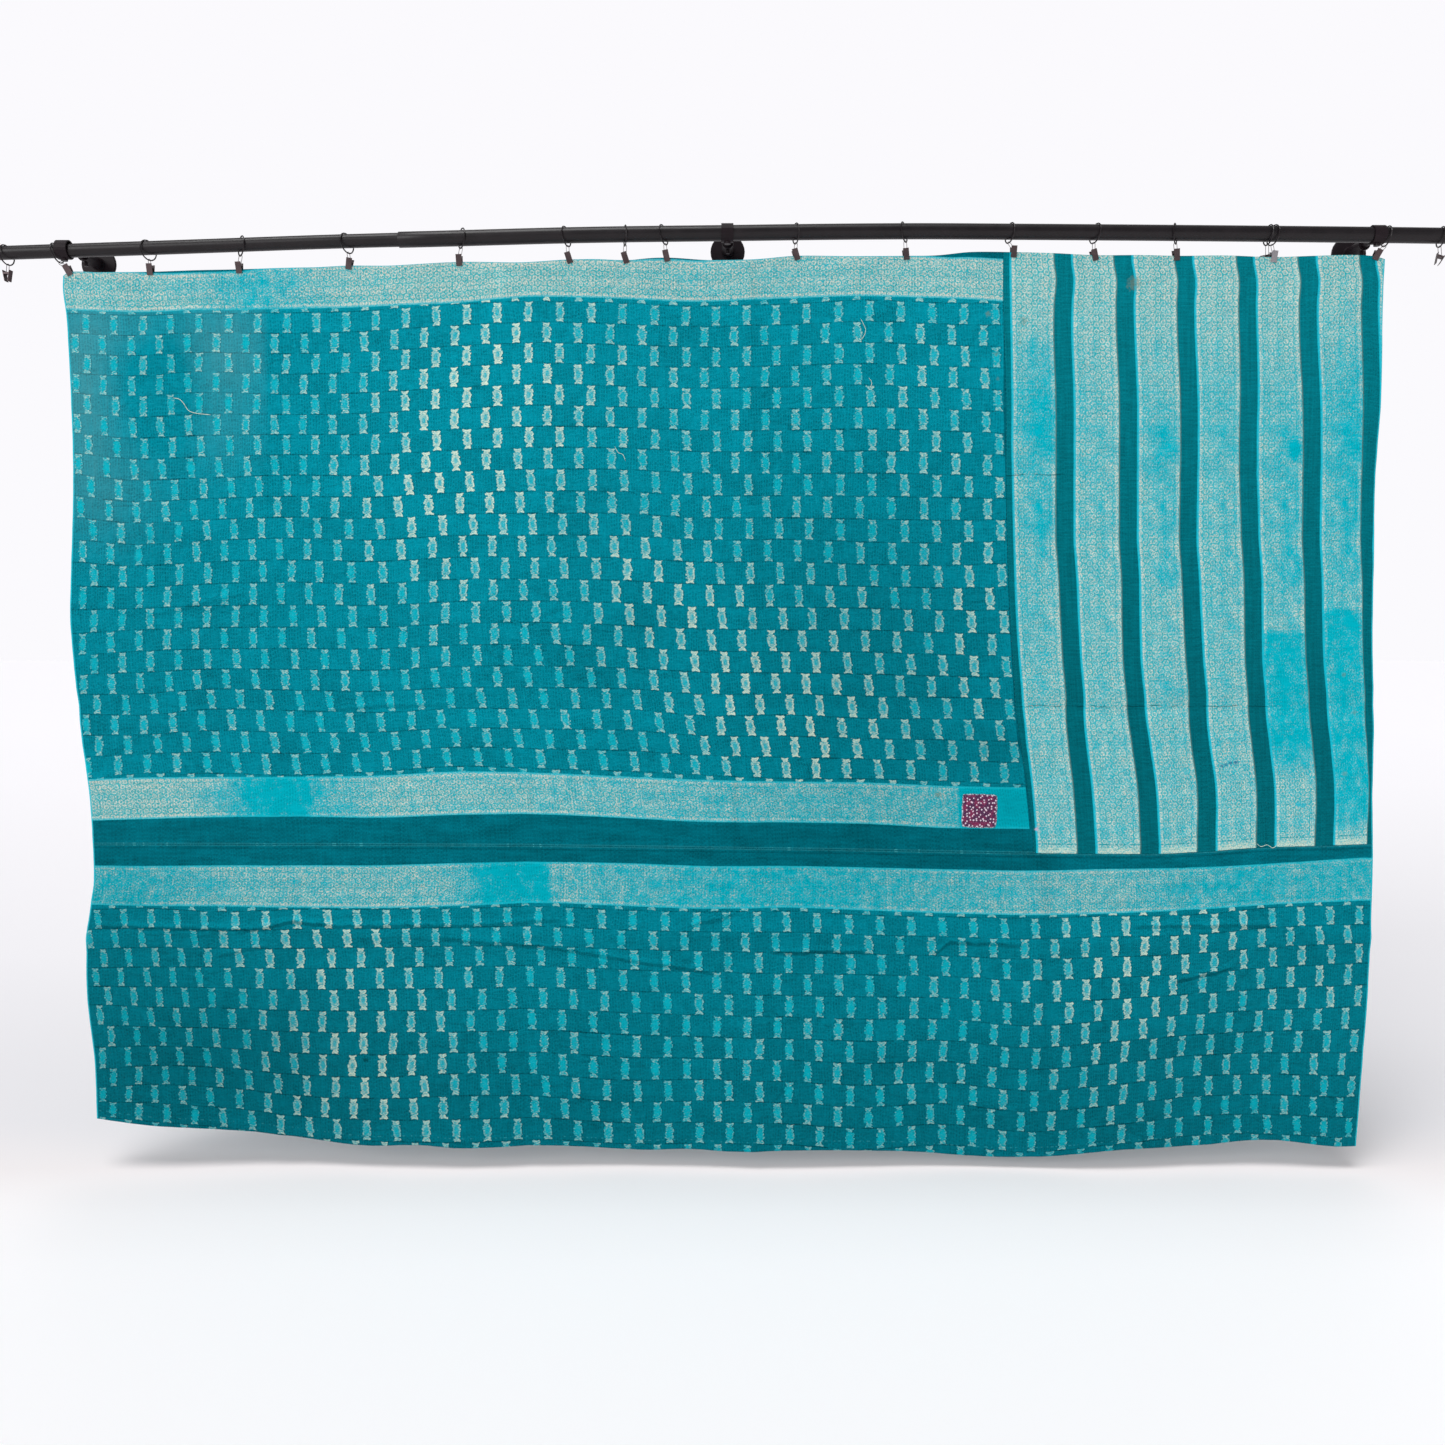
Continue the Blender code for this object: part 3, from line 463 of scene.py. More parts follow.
LOWER_COLUMNS = {
    1: (-1074, -1068, -1074, -1090), 5: (-880, -888, -897, -906), 9: (-683, -686, -684, -692),
    13: (-471, -475, -479, -487), 17: (-261, -266, -268, -274), 21: (-48, -50, -50, -55),
    25: (160, 159, 159, 153), 29: (376, 374, 379, 368), 33: (583, 587, 591, 580),
    37: (789, 788, 792, 791), 41: (997, 990, 996, 988), 45: (1167, 1181, 1188, 1191),
}


def between(value, lines, numbers):
    """The number at value among rising lines, carried on past the first and last."""
    lines, numbers = np.stack(lines), np.array(list(numbers), float)
    index = np.clip((value >= lines).sum(0) - 1, 0, len(numbers) - 2)
    start = np.take_along_axis(lines, index[None], 0)[0]
    end = np.take_along_axis(lines, index[None] + 1, 0)[0]
    return numbers[index] + (value - start) / (end - start) * (numbers[index + 1] - numbers[index])


def line(places, values, at):
    """The value at many places, between values given at some places."""
    return along(tuple(zip(places, values)), at)


def figure_numbers(x, z, places, rows, heights, columns):
    """The column number and row number of figures at each point."""
    row = between(-z, [-line(places, values, x) for values in rows.values()], rows)
    column = between(x, [line(heights, values, z) for values in columns.values()], columns)
    return column, row


there = np.array([-70.0]), np.array([-500.0])
found = figure_numbers(*there, UPPER_AT, UPPER_ROWS, UPPER_HEIGHTS, UPPER_COLUMNS)
print("figure column and row at x -70, z -500:", [round(float(number[0]), 2) for number in found])

# %% [markdown]
# ## Wear and shade
# Old saree cloth is uneven. The cream pattern threads have broken in places, so that bare cyan shows, and
# some figures kept their cream outline while others lost it. The ground also fades and darkens in broad
# soft patches. Each of these is a number at every point: an even start, and listed oval patches.
# Some of these numbers also carry painted shade: beside a fold, in pressed creases and along pucker lines.

# %% Soft patches
FIGURE_CREAM = (  # x, z, reach across, reach down, strength
    (-398, -227, 170, 190, 0.70), (-482, -442, 140, 150, 0.60), (-181, -542, 150, 70, 0.35),
    (-63, -642, 140, 90, 0.50), (20, -774, 120, 100, 0.45), (171, -741, 130, 130, 0.45),
    (154, -875, 170, 60, 0.50), (422, -642, 60, 200, 0.45), (338, -276, 120, 150, 0.25),
    (-147, -276, 120, 120, 0.20), (-631, -1400, 150, 160, 0.70), (-680, -1190, 160, 80, 0.45),
    (683, -1265, 130, 160, 0.60), (822, -1180, 120, 80, 0.35), (1035, -1230, 90, 150, 0.35),
    (-435, -1530, 100, 40, 0.30),
)
# Tone in soft patches, mostly the cloth's own uneven tone; the pair at x 283 and 321 low on the lower panel
# are a painted shadow and a painted light beside a fold.
GROUND_TONE = (
    (250, -700, 240, 380, -0.20), (-180, -450, 190, 350, -0.08), (-1000, -700, 160, 160, -0.06),
    (-820, -1400, 260, 150, -0.22), (-1050, -1200, 160, 160, -0.14), (600, -1450, 200, 130, -0.06),
    (-60, -150, 160, 90, -0.06), (-150, -650, 70, 40, -0.10), (-230, -720, 60, 30, -0.10),
    (-943, -235, 60, 90, -0.10), (-1060, -1430, 120, 120, -0.08), (1010, -1230, 90, 50, -0.08),
    (455, -866, 64, 40, -0.17), (492, -963, 46, 36, -0.18), (283, -1415, 80, 26, -0.10),
    (321, -1452, 50, 20, 0.07), (830, -1374, 60, 24, -0.07), (-560, -1290, 240, 60, 0.03),
)
VEIL = (  # pale fibres over the ground
    (-1080, -250, 50, 150, 0.42), (-1010, -150, 90, 50, 0.20), (-1050, -420, 90, 90, 0.18),
    (-840, -190, 70, 90, 0.34), (-850, -330, 60, 70, 0.12), (-943, -245, 48, 90, -0.20),
)
VEIL_END = -767.0  # where the faded length of the cloth stops, x
STRIPE_COVER = (
    (518, -190, 28, 26, -0.25), (529, -300, 40, 100, -0.52), (529, -480, 30, 60, -0.36),
    (510, -640, 40, 90, -0.12), (625, -400, 30, 140, -0.08), (733, -187, 22, 24, -0.22),
    (733, -350, 30, 70, -0.40), (742, -480, 28, 60, -0.22), (742, -568, 18, 24, -0.35),
    (840, -300, 40, 120, -0.20), (850, -560, 40, 160, -0.10), (950, -400, 45, 190, -0.28),
    (953, -357, 7, 14, -0.80), (968, -560, 40, 50, -0.22), (1055, -330, 45, 220, -0.44),
    (1055, -560, 40, 90, -0.12), (770, -760, 30, 24, -0.2),
)
STRIPE_BARE = (  # dark stripe on its left, top z, foot z, how much
    (4, -655, -860, 0.50), (5, -618, -960, 0.46),
)
BORDER_COVER = (  # x, cover
    (-1110, 0.88), (-1000, 0.84), (-900, 0.72), (-840, 0.50), (-800, 0.38), (-760, 0.44), (-700, 0.66),
    (-620, 0.88), (-380, 1.12), (-120, 0.86), (100, 0.80), (300, 0.92), (470, 0.94),
)
BAND_ONE_COVER = (
    (-1100, 0.84), (-986, 0.92), (-900, 0.66), (-849, 0.34), (-815, 0.10), (-780, 0.02), (-722, 0.02),
    (-712, 0.34), (-655, 0.50), (-620, 0.62), (-576, 0.76), (-525, 0.76), (-218, 0.63), (-47, 0.56),
    (123, 0.50), (294, 0.52), (379, 0.48), (396, 0.46),
)
BAND_TWO_COVER = (
    (-1095, 0.33), (-1034, 0.34), (-913, 0.46), (-809, 0.62), (-515, 0.64), (-460, 0.50), (-425, 0.16),
    (-395, 0.06), (-330, 0.04), (-312, 0.08), (-300, 0.52), (-221, 0.47), (-48, 0.33), (125, 0.26),
    (298, 0.40), (471, 0.50), (533, 0.56), (679, 0.62), (782, 0.40), (869, 0.34), (938, 0.26), (964, 0.44),
    (1000, 0.34), (1110, 0.32),
)


def patches(x, z, ovals, start):
    """An even start with soft oval patches added to it."""
    total = np.full_like(x, start)
    for at_x, at_z, across, down, strength in ovals:
        total += strength * np.exp(-(((x - at_x) / across) ** 2) - ((z - at_z) / down) ** 2)
    return total


print(len(FIGURE_CREAM) + len(GROUND_TONE) + len(STRIPE_COVER), "soft patches")

# %% [markdown]
# ## The tools for a finish
# A finish is a network of nodes, and most of it is arithmetic. A small class wraps one output of a node
# and overloads Python's signs, so that the arithmetic reads as arithmetic: each sign adds a Math node. A
# second class is the material itself. Its one method adds any other node: it sets the node's settings,
# then fills its sockets with numbers or with the outputs of other nodes.

# %% Value and Finish


class Value:
    """A number, colour or vector that changes over a surface. Python's signs on it add Math nodes."""

    def __init__(self, finish, socket):
        self.finish = finish
        self.socket = socket

    def math(self, operation, *others):
        """This number and others through one kind of Math node."""
        return self.finish.arithmetic(operation, self, *others)

    def __add__(self, other):
        return self.finish.arithmetic("ADD", self, other)

    def __radd__(self, other):
        return self.finish.arithmetic("ADD", other, self)

    def __sub__(self, other):
        return self.finish.arithmetic("SUBTRACT", self, other)

    def __rsub__(self, other):
        return self.finish.arithmetic("SUBTRACT", other, self)

    def __mul__(self, other):
        return self.finish.arithmetic("MULTIPLY", self, other)

    def __rmul__(self, other):
        return self.finish.arithmetic("MULTIPLY", other, self)

    def __truediv__(self, other):
        return self.finish.arithmetic("DIVIDE", self, other)

    def __abs__(self):
        return self.math("ABSOLUTE")

    def floor(self):
        """The whole part."""
        return self.math("FLOOR")

    def fraction(self):
        """What is left past the whole part."""
        return self.math("FRACT")


class Finish:
    """A material: a Principled shader and the nodes that feed it."""

    def __init__(self, name, roughness, metallic=0.0, sheen=0.0, specular=0.5, tint=(1, 1, 1, 1)):
        self.material = bpy.data.materials.new(name)
        self.material.use_nodes = True
        self.tree = self.material.node_tree
        self.shader = self.tree.nodes["Principled BSDF"]
        constants = {
            "Roughness": roughness, "Metallic": metallic, "Sheen Weight": sheen,
            "Specular IOR Level": specular, "Specular Tint": tint, "Sheen Tint": tint,
        }
        for socket, value in constants.items():
            self.shader.inputs[socket].default_value = value

    def add(self, kind, settings=None, sockets=None, output=0):
        """Adds a node, sets its settings, fills its sockets, and gives one of its outputs."""
        node = self.tree.nodes.new(kind)
        for setting, value in (settings or {}).items():
            if setting == "stops":
                elements = node.color_ramp.elements
                for place, _ in value[1:-1]:
                    elements.new(place)
                for element, (_, grey) in zip(elements, value):
                    element.color = (grey, grey, grey, 1.0)
            else:
                setattr(node, setting, value)
        for socket, value in (sockets or {}).items():
            self.fill(node.inputs[socket], value)
        return Value(self, node.outputs[output])

    def fill(self, socket, value):
        """Gives a socket a number, a colour or another node's output."""
        if isinstance(value, Value):
            self.tree.links.new(value.socket, socket)
        else:
            # A vector socket takes the first three of a colour's four numbers.
            count = len(socket.default_value) if isinstance(value, tuple) else 0
            socket.default_value = value[:count] if count else value

    def arithmetic(self, operation, *values):
        """A Math node on numbers and values."""
        return self.add("ShaderNodeMath", {"operation": operation}, dict(enumerate(values)))

    def feed(self, socket, value):
        """Gives a socket of the shader its value."""
        self.fill(self.shader.inputs[socket], value)

    def three(self, attribute):
        """The three numbers that a sheet keeps under a name."""
        whole = self.add("ShaderNodeAttribute", {"attribute_name": attribute}, output=1)
        return self.parts(whole)

    def parts(self, vector):
        """The three numbers of a vector."""
        return [self.add("ShaderNodeSeparateXYZ", None, {0: vector}, output=axis) for axis in range(3)]

    def point(self, *numbers):
        """A vector from up to three numbers."""
        return self.add("ShaderNodeCombineXYZ", None, dict(enumerate(numbers)))

    def noise(self, x, y, z=0.0, detail=1.0):
        """Soft noise from 0 to 1, about one wave in each unit."""
        sockets = {"Vector": self.point(x, y, z), "Scale": 1.0, "Detail": detail}
        return self.add("ShaderNodeTexNoise", None, sockets)

    def luck(self, *numbers):
        """Three even random numbers that stay the same for the same whole numbers."""
        random = self.add("ShaderNodeTexWhiteNoise", None, {"Vector": self.point(*numbers)}, output=1)
        return self.parts(random)

    def mixed(self, first, second, share):
        """A colour between two colours."""
        settings = {"data_type": "RGBA", "clamp_factor": True}
        return self.add("ShaderNodeMix", settings, {0: share, 6: first, 7: second}, output=2)

    def shaded(self, colour, share):
        """A colour made lighter or darker."""
        return self.add("ShaderNodeVectorMath", {"operation": "SCALE"}, {0: colour, "Scale": share})

    def bump(self, height, distance=MM, strength=1.0):
        """A height in units of the distance, as the surface's small relief."""
        sockets = {"Height": height, "Distance": distance, "Strength": strength}
        self.feed("Normal", self.add("ShaderNodeBump", None, sockets))


def edge(value, low, high):
    """0 at low and 1 at high with a soft step between. Turned round where low is above high."""
    sockets = {"Value": value, "From Min": low, "From Max": high}
    return value.finish.add("ShaderNodeMapRange", {"interpolation_type": "SMOOTHSTEP"}, sockets)


def smaller(first, second):
    """The smaller of two values."""
    return first.math("MINIMUM", second)


def larger(first, second):
    """The larger of two values."""
    return first.math("MAXIMUM", second)


def dyed(red, green, blue):
    """A colour as a screen shows it, 0 to 255, as a shader's linear colour."""
    linear = [((v / 255 + 0.055) / 1.055) ** 2.4 if v > 10 else v / 3294.6 for v in (red, green, blue)]
    return (*linear, 1.0)


SHEEN_TINT = dyed(60, 200, 215)
print("cream as a linear colour", [round(v, 3) for v in dyed(205, 205, 172)])

# %% [markdown]
# ## Running stitch
# What makes a kantha is its stitching: fine rows of running stitch a few millimetres apart through every
# layer. The cloth puffs up between two rows and dips along each, and short lengths of thread show on
# top. As thousands of real ridges they would cost millions of faces, so they are relief in the finish: a
# puff between the rows and a dash for each stitch, swaying a little as hand work does. The finishes also
# darken their colour along each row with the puff: that is painted shade in the dips.

# %% Stitching
STITCH_ROWS = 4.4  # mm between rows
STITCH_LENGTH = 7.0


def stitched(cloth, across, down):
    """(puff between the rows of stitches, thread where a stitch shows), each 0 to 1."""
    sway = cloth.noise(across / 90, down / 70)
    turns = across / STITCH_ROWS + (sway - 0.5) * 3
    row = (turns + 0.5).floor()
    off = abs(turns - row)
    start = cloth.luck(row, 3.1, 0.0)[0]
    run = (down / STITCH_LENGTH + start * 7).fraction()
    stitch = edge(run, 0.66, 0.56) * edge(run, 0.0, 0.10)
    pulled = cloth.noise(across / 26, down / 19, 5.0)
    puff = 1 - edge(off, 0.34, 0.06) * (0.30 + stitch * 0.70) * edge(pulled, 0.24, 0.60)
    return puff, edge(off, 0.26, 0.12) * (1 - stitch)


def weave(cloth, across, down):
    """The uneven threads of the cloth itself, 0 to 1, longest along the rows of figures."""
    fine = cloth.noise(across / 2.6, down / 1.3, 0.0)
    slubs = cloth.noise(across / 8.0, down / 2.6, 3.0, 2.0)
    return fine * 0.45 + slubs * 0.55


print("rows of stitches across the quilt:", round(2200 / STITCH_ROWS))

# %% [markdown]
# ## The light brocade
# The borders are a second weave: cream pattern threads on pale teal, in rings, small diamonds and bars,
# with a dense line along each edge. Where the cream threads have worn away the bare cyan cloth shows.
# A number called cover says how much is left, and the threads break up unevenly where it falls.

# %% Brocade
TEAL, DEEP = dyed(0, 137, 155), dyed(0, 99, 113)
BARE, PALE, CREAM = dyed(0, 166, 182), dyed(58, 168, 174), dyed(206, 208, 195)
RING_PITCH, RING_ROWS, RING_FOOT, RING_SIZE = 22.6, 27.0, 26.0, 4.4
SCALE_PITCH, SCALE_ROWS = 10.2, 8.6


def from_nearest(value, pitch, start):
    """Signed distance from the nearest of evenly spaced places."""
    return ((value - start) / pitch + 0.5).fraction() * pitch - pitch / 2


def brocade(cloth, run, up, inside, cover, threads, patch_run, patch_up, combed, grain):
    """The colour of the light cloth. run goes along the band, up from its foot, inside in from its edges.

    The last four are the size of the worn patches both ways, how much their edges follow the threads, and
    how strongly single threads show.
    """
    beside, above = from_nearest(run, RING_PITCH, 0.0), from_nearest(up, RING_ROWS, RING_FOOT)
    between_x = from_nearest(run, RING_PITCH, RING_PITCH / 2)
    radius = (beside * beside + above * above).math("SQRT")
    ring = edge(abs(radius - RING_SIZE), 1.9, 0.6)
    diamond = edge(abs(abs(between_x) / 3.4 + abs(above) / 5.0 - 1), 0.45, 0.10)
    row = (up / SCALE_ROWS).floor()
    stagger = row.math("MODULO", 2.0) * SCALE_PITCH / 2
    scale_x = from_nearest(run + stagger, SCALE_PITCH, 0.0)
    scale_up = from_nearest(up, SCALE_ROWS, SCALE_ROWS / 2)
    scale_radius = (scale_x * scale_x + scale_up * scale_up).math("SQRT")
    scales = edge(abs(scale_radius - 3.1), 1.5, 0.5)
    rim = edge(inside, 8.0, 5.0)
    broken = cloth.noise(run / 2.5, up / 1.9, 4.0)
    knots = cloth.luck((run / 2.3).floor(), (up / 2.1).floor(), 3)[0]
    dots = edge(scale_radius, 1.2, 0.4)
    pattern = scales * 0.50 + dots * 0.42 + larger(ring, diamond) * 0.28
    single = (broken - 0.5) * 1.3 + (knots - 0.5) * 0.55 + (threads - 0.5) * 1.5
    amount = 0.06 + pattern + rim * 0.22 + single * grain
    woven = cloth.mixed(PALE, CREAM, amount)
    blotches = cloth.noise(run / patch_run, up / patch_up, 8.0, 4.0)
    columns = cloth.noise(run / 5, 7.0)
    grains = (broken - 0.5) * 0.7 + (knots - 0.5) * 0.25
    worn = cover + (blotches - 0.5) * 1.15 + (columns - 0.5) * combed + grains + rim * 0.10
    left = edge(worn, 0.10, 1.05)
    bare = cloth.shaded(BARE, 0.90 + threads * 0.20)
    return cloth.mixed(bare, woven, left)


print("a ring every", RING_PITCH, "mm")

# %% [markdown]
# ## The figured ground
# Each cell of the figured cloth holds one small motif: a long body with stepped sides between two flared
# caps, outlined in cream with a cyan middle. It is drawn as a signed distance. A ramp gives half its
# width at each height, noise in whole threads steps its sides, and each motif gets its own luck, so that
# none is an exact copy. Thin dark lines run between the rows.

# %% Figures
FIGURE_PITCH, ROW_PITCH = 50.6, 35.6
EVEN_SHIFT = 0.6
FIGURE_HALF = 17.0
WIDEST = 7.2
HALF_WIDTHS = (  # share of half the height, share of the widest half
    (0.0, 0.94), (0.30, 0.93), (0.46, 0.86), (0.55, 0.82), (0.59, 0.46), (0.65, 0.50), (0.72, 0.66),
    (0.88, 0.84), (1.0, 0.80),
)


def cells(cloth, column, row):
    """The number of the row of motifs, and a column number in which each motif is one whole cell."""
    number = (row + 0.5).floor()
    even = 1 - number.math("MODULO", 2.0)
    return number, column - EVEN_SHIFT * even + 0.5


def figure(cloth, row, number, moved, cream):
    """(signed mm inside a motif, its colour, mm right of its middle) at each point."""
    cell = moved.floor()
    luck_x, luck_tilt, luck_wear = cloth.luck(cell, number, 1.7)
    up = (row - number) * ROW_PITCH
    side = (moved - cell - 0.5) * FIGURE_PITCH + (luck_x - 0.5) * 1.4 + up * (luck_tilt - 0.5) * 0.09
    height, off = abs(up), abs(side)
    half = WIDEST * cloth.add("ShaderNodeValToRGB", {"stops": HALF_WIDTHS}, {0: height / FIGURE_HALF})
    right = edge(side, -0.5, 0.5)
    step = (up / 2.9 + cell * 1.3 + right * 0.5).floor()
    jag = cloth.luck(step, right + number * 2, cell)[0]
    inside = smaller(half + (jag - 0.5) * 3.0 - off, FIGURE_HALF - 1.3 + off * 0.24 - height)
    kept = cream + (luck_wear - 0.5) * 0.26
    speck = cloth.noise(side / 4.6, up / 1.9, cell * 3 + number)
    across_share, up_share = off / (5.2 - kept * 2.0), height / (8.8 - kept * 3.4)
    middle = 1 - across_share * across_share - up_share * up_share
    open_middle = edge(middle + (speck - 0.5) * 1.4, 0.0, 0.50)
    rim = edge(inside, 3.2, 1.2) * (0.5 + right * 0.5)
    cap = edge(height, 9.6, 11.5)
    amount = -0.22 + kept * 0.72 + rim * (0.10 + kept * 0.35) + cap * 0.20 + (speck - 0.5) * 1.7
    outline = cloth.mixed(dyed(8, 160, 174), dyed(204, 220, 200), amount)
    ends = cloth.luck((side / 2.6).floor(), (up / 2.1).floor(), cell + number)[0]
    creamed = (ends - 0.66) * 0.6 + (kept - 0.45) * 0.4
    middle_dye = cloth.mixed(dyed(8, 170, 186), dyed(148, 204, 200), creamed)
    return inside, cloth.mixed(outline, middle_dye, open_middle * 0.88), side


def ground(cloth, row, number, moved, across, down, threads, puff, thread):
    """The teal between the motifs, with the dark line between two rows of them, and painted shade in the
    stitch dips and along thin wrinkles.
    """
    between_rows = abs(from_nearest(row, 1.0, 0.5)) * ROW_PITCH
    block, line_luck, _ = cloth.luck((moved + 0.5).floor(), number, 8.8)
    breaks = cloth.noise(across / 14, row * 3)
    gap = edge(between_rows, 1.7, 0.5) * edge(breaks, 0.30, 0.60) * (0.4 + line_luck * 0.6)
    upright = cloth.noise(across / 3.4, down / 24, 2.0)
    soft = cloth.noise(across / 60, down / 34, 12.0, 2.0)
    # Painted shade along thin random wrinkles.
    fold_line = abs(cloth.noise(across / 130, down / 46, 21.0, 2.0) - 0.5)
    wrinkles = edge(fold_line, 0.022, 0.005) * edge(cloth.noise(across / 210, down / 120, 27.0), 0.44, 0.60)
    # The puff term is painted shade in the stitch dips.
    level = 0.80 + puff * 0.22 + thread * 0.07 + (threads - 0.5) * 0.80 + (block - 0.5) * 0.15
    level = level - gap * 0.50 + (upright - 0.5) * 0.46 + (soft - 0.5) * 0.26 - wrinkles * 0.13
    return cloth.shaded(TEAL, level)


print("one motif is", 2 * FIGURE_HALF, "mm tall")

# %% [markdown]
# ## The figured panels' finish
# The main and lower panels are one cloth, so one function mixes both finishes: the figured ground in its
# field, brocade in the light bands, and plain deep teal with fine streaks elsewhere. Fibres lie loose on
# worn cotton, so the finish is rough with a weak sheen. Painted shade is mixed into the colour too: in the
# stitch dips, along creases under a painted highlight on their lip, in the seam's groove, beside the
# motifs, and down the cloth as the light falls off.

# %% Figured finish


def crinkled(cloth, across, down):
    """The larger wrinkles between stitches, mm."""
    return (cloth.noise(across / 30, down / 10, 2.0, 2.0) - 0.5) * 2.6


def edge_thread(cloth, colour, from_side):
    """The bright folded edge that shows as a thin line down each side of the quilt."""
    return cloth.mixed(colour, dyed(40, 184, 200), edge(from_side, 3.4, 1.8) * 0.85)


def marked(cloth, colour, marks):
    """Small stains: each is (x, z, reach, dye, strength), in mm on the hung quilt."""
    x, _, z = cloth.parts(cloth.add("ShaderNodeTexCoord", output=3))
    ragged = cloth.noise(x * 240, z * 240, 3.0, 2.0) - 0.5
    flat = cloth.point(x * 1000, z * 1000, 0.0)
    for at_x, at_z, reach, dye, strength in marks:
        ends = {0: flat, 1: (at_x, at_z, 0.0)}
        away = cloth.add("ShaderNodeVectorMath", {"operation": "DISTANCE"}, ends, output=1)
        stain = edge(away + ragged * (reach * 1.6), reach, reach * 0.3)
        colour = cloth.mixed(colour, dye, stain * strength)
    return colour


def crease_stops(runs, fade=6.0):
    """A line of creases as two lists of stops, its heights and its depths. Each run fades out at its ends."""
    heights, depths = [], []
    for run in runs:
        heights += [(x, z) for x, z, _ in run]
        (first, _, first_depth), (last, _, last_depth) = run[0], run[-1]
        depths += [(first - fade, 0.0), (first + fade, first_depth)]
        depths += [(x, depth) for x, _, depth in run[1:-1]]
        depths += [(last - fade, last_depth), (last + fade, 0.0)]
    start, end = depths[0][0], depths[-1][0]
    heights = [(start, heights[0][1]), *heights, (end, heights[-1][1])]
    return heights, depths, start, end


def painted_crease_shade(cloth, colour, creases):
    """Painted shade in sharp little creases, dark under a painted highlight on their lip. Each run is of (x,
    z, depth), in mm as hung.
    """
    x, _, z = cloth.parts(cloth.add("ShaderNodeTexCoord", output=3))
    x, z = x * 1000, z * 1000
    waver = (cloth.noise(x / 34, z / 90, 5.0) - 0.5) * 9 + (cloth.noise(x / 8, z / 90, 8.0) - 0.5) * 3
    level = 1
    for runs in creases:
        heights, depths, start, end = crease_stops(runs)
        low, high = min(height for _, height in heights), max(height for _, height in heights)
        wide, tall = end - start, high - low
        share = (x - start) / wide
        height_stops = [((place - start) / wide, (height - low) / tall) for place, height in heights]
        depth_stops = [((place - start) / wide, depth) for place, depth in depths]
        height = cloth.add("ShaderNodeValToRGB", {"stops": height_stops}, {0: share}) * tall + low
        faint = cloth.add("ShaderNodeValToRGB", {"stops": depth_stops}, {0: share})
        off = z - height + waver
        # Painted shade in the crease, and a painted highlight on the lip above it.
        level = level - edge(abs(off), 5.0, 1.2) * faint * 1.5 + edge(abs(off - 8), 7.0, 1.0) * faint * 0.6
    return cloth.shaded(colour, level)


SEAM_GROOVE_SHADE, HEM_STITCHES = 991.5, 1493  # how far down the cloth they lie


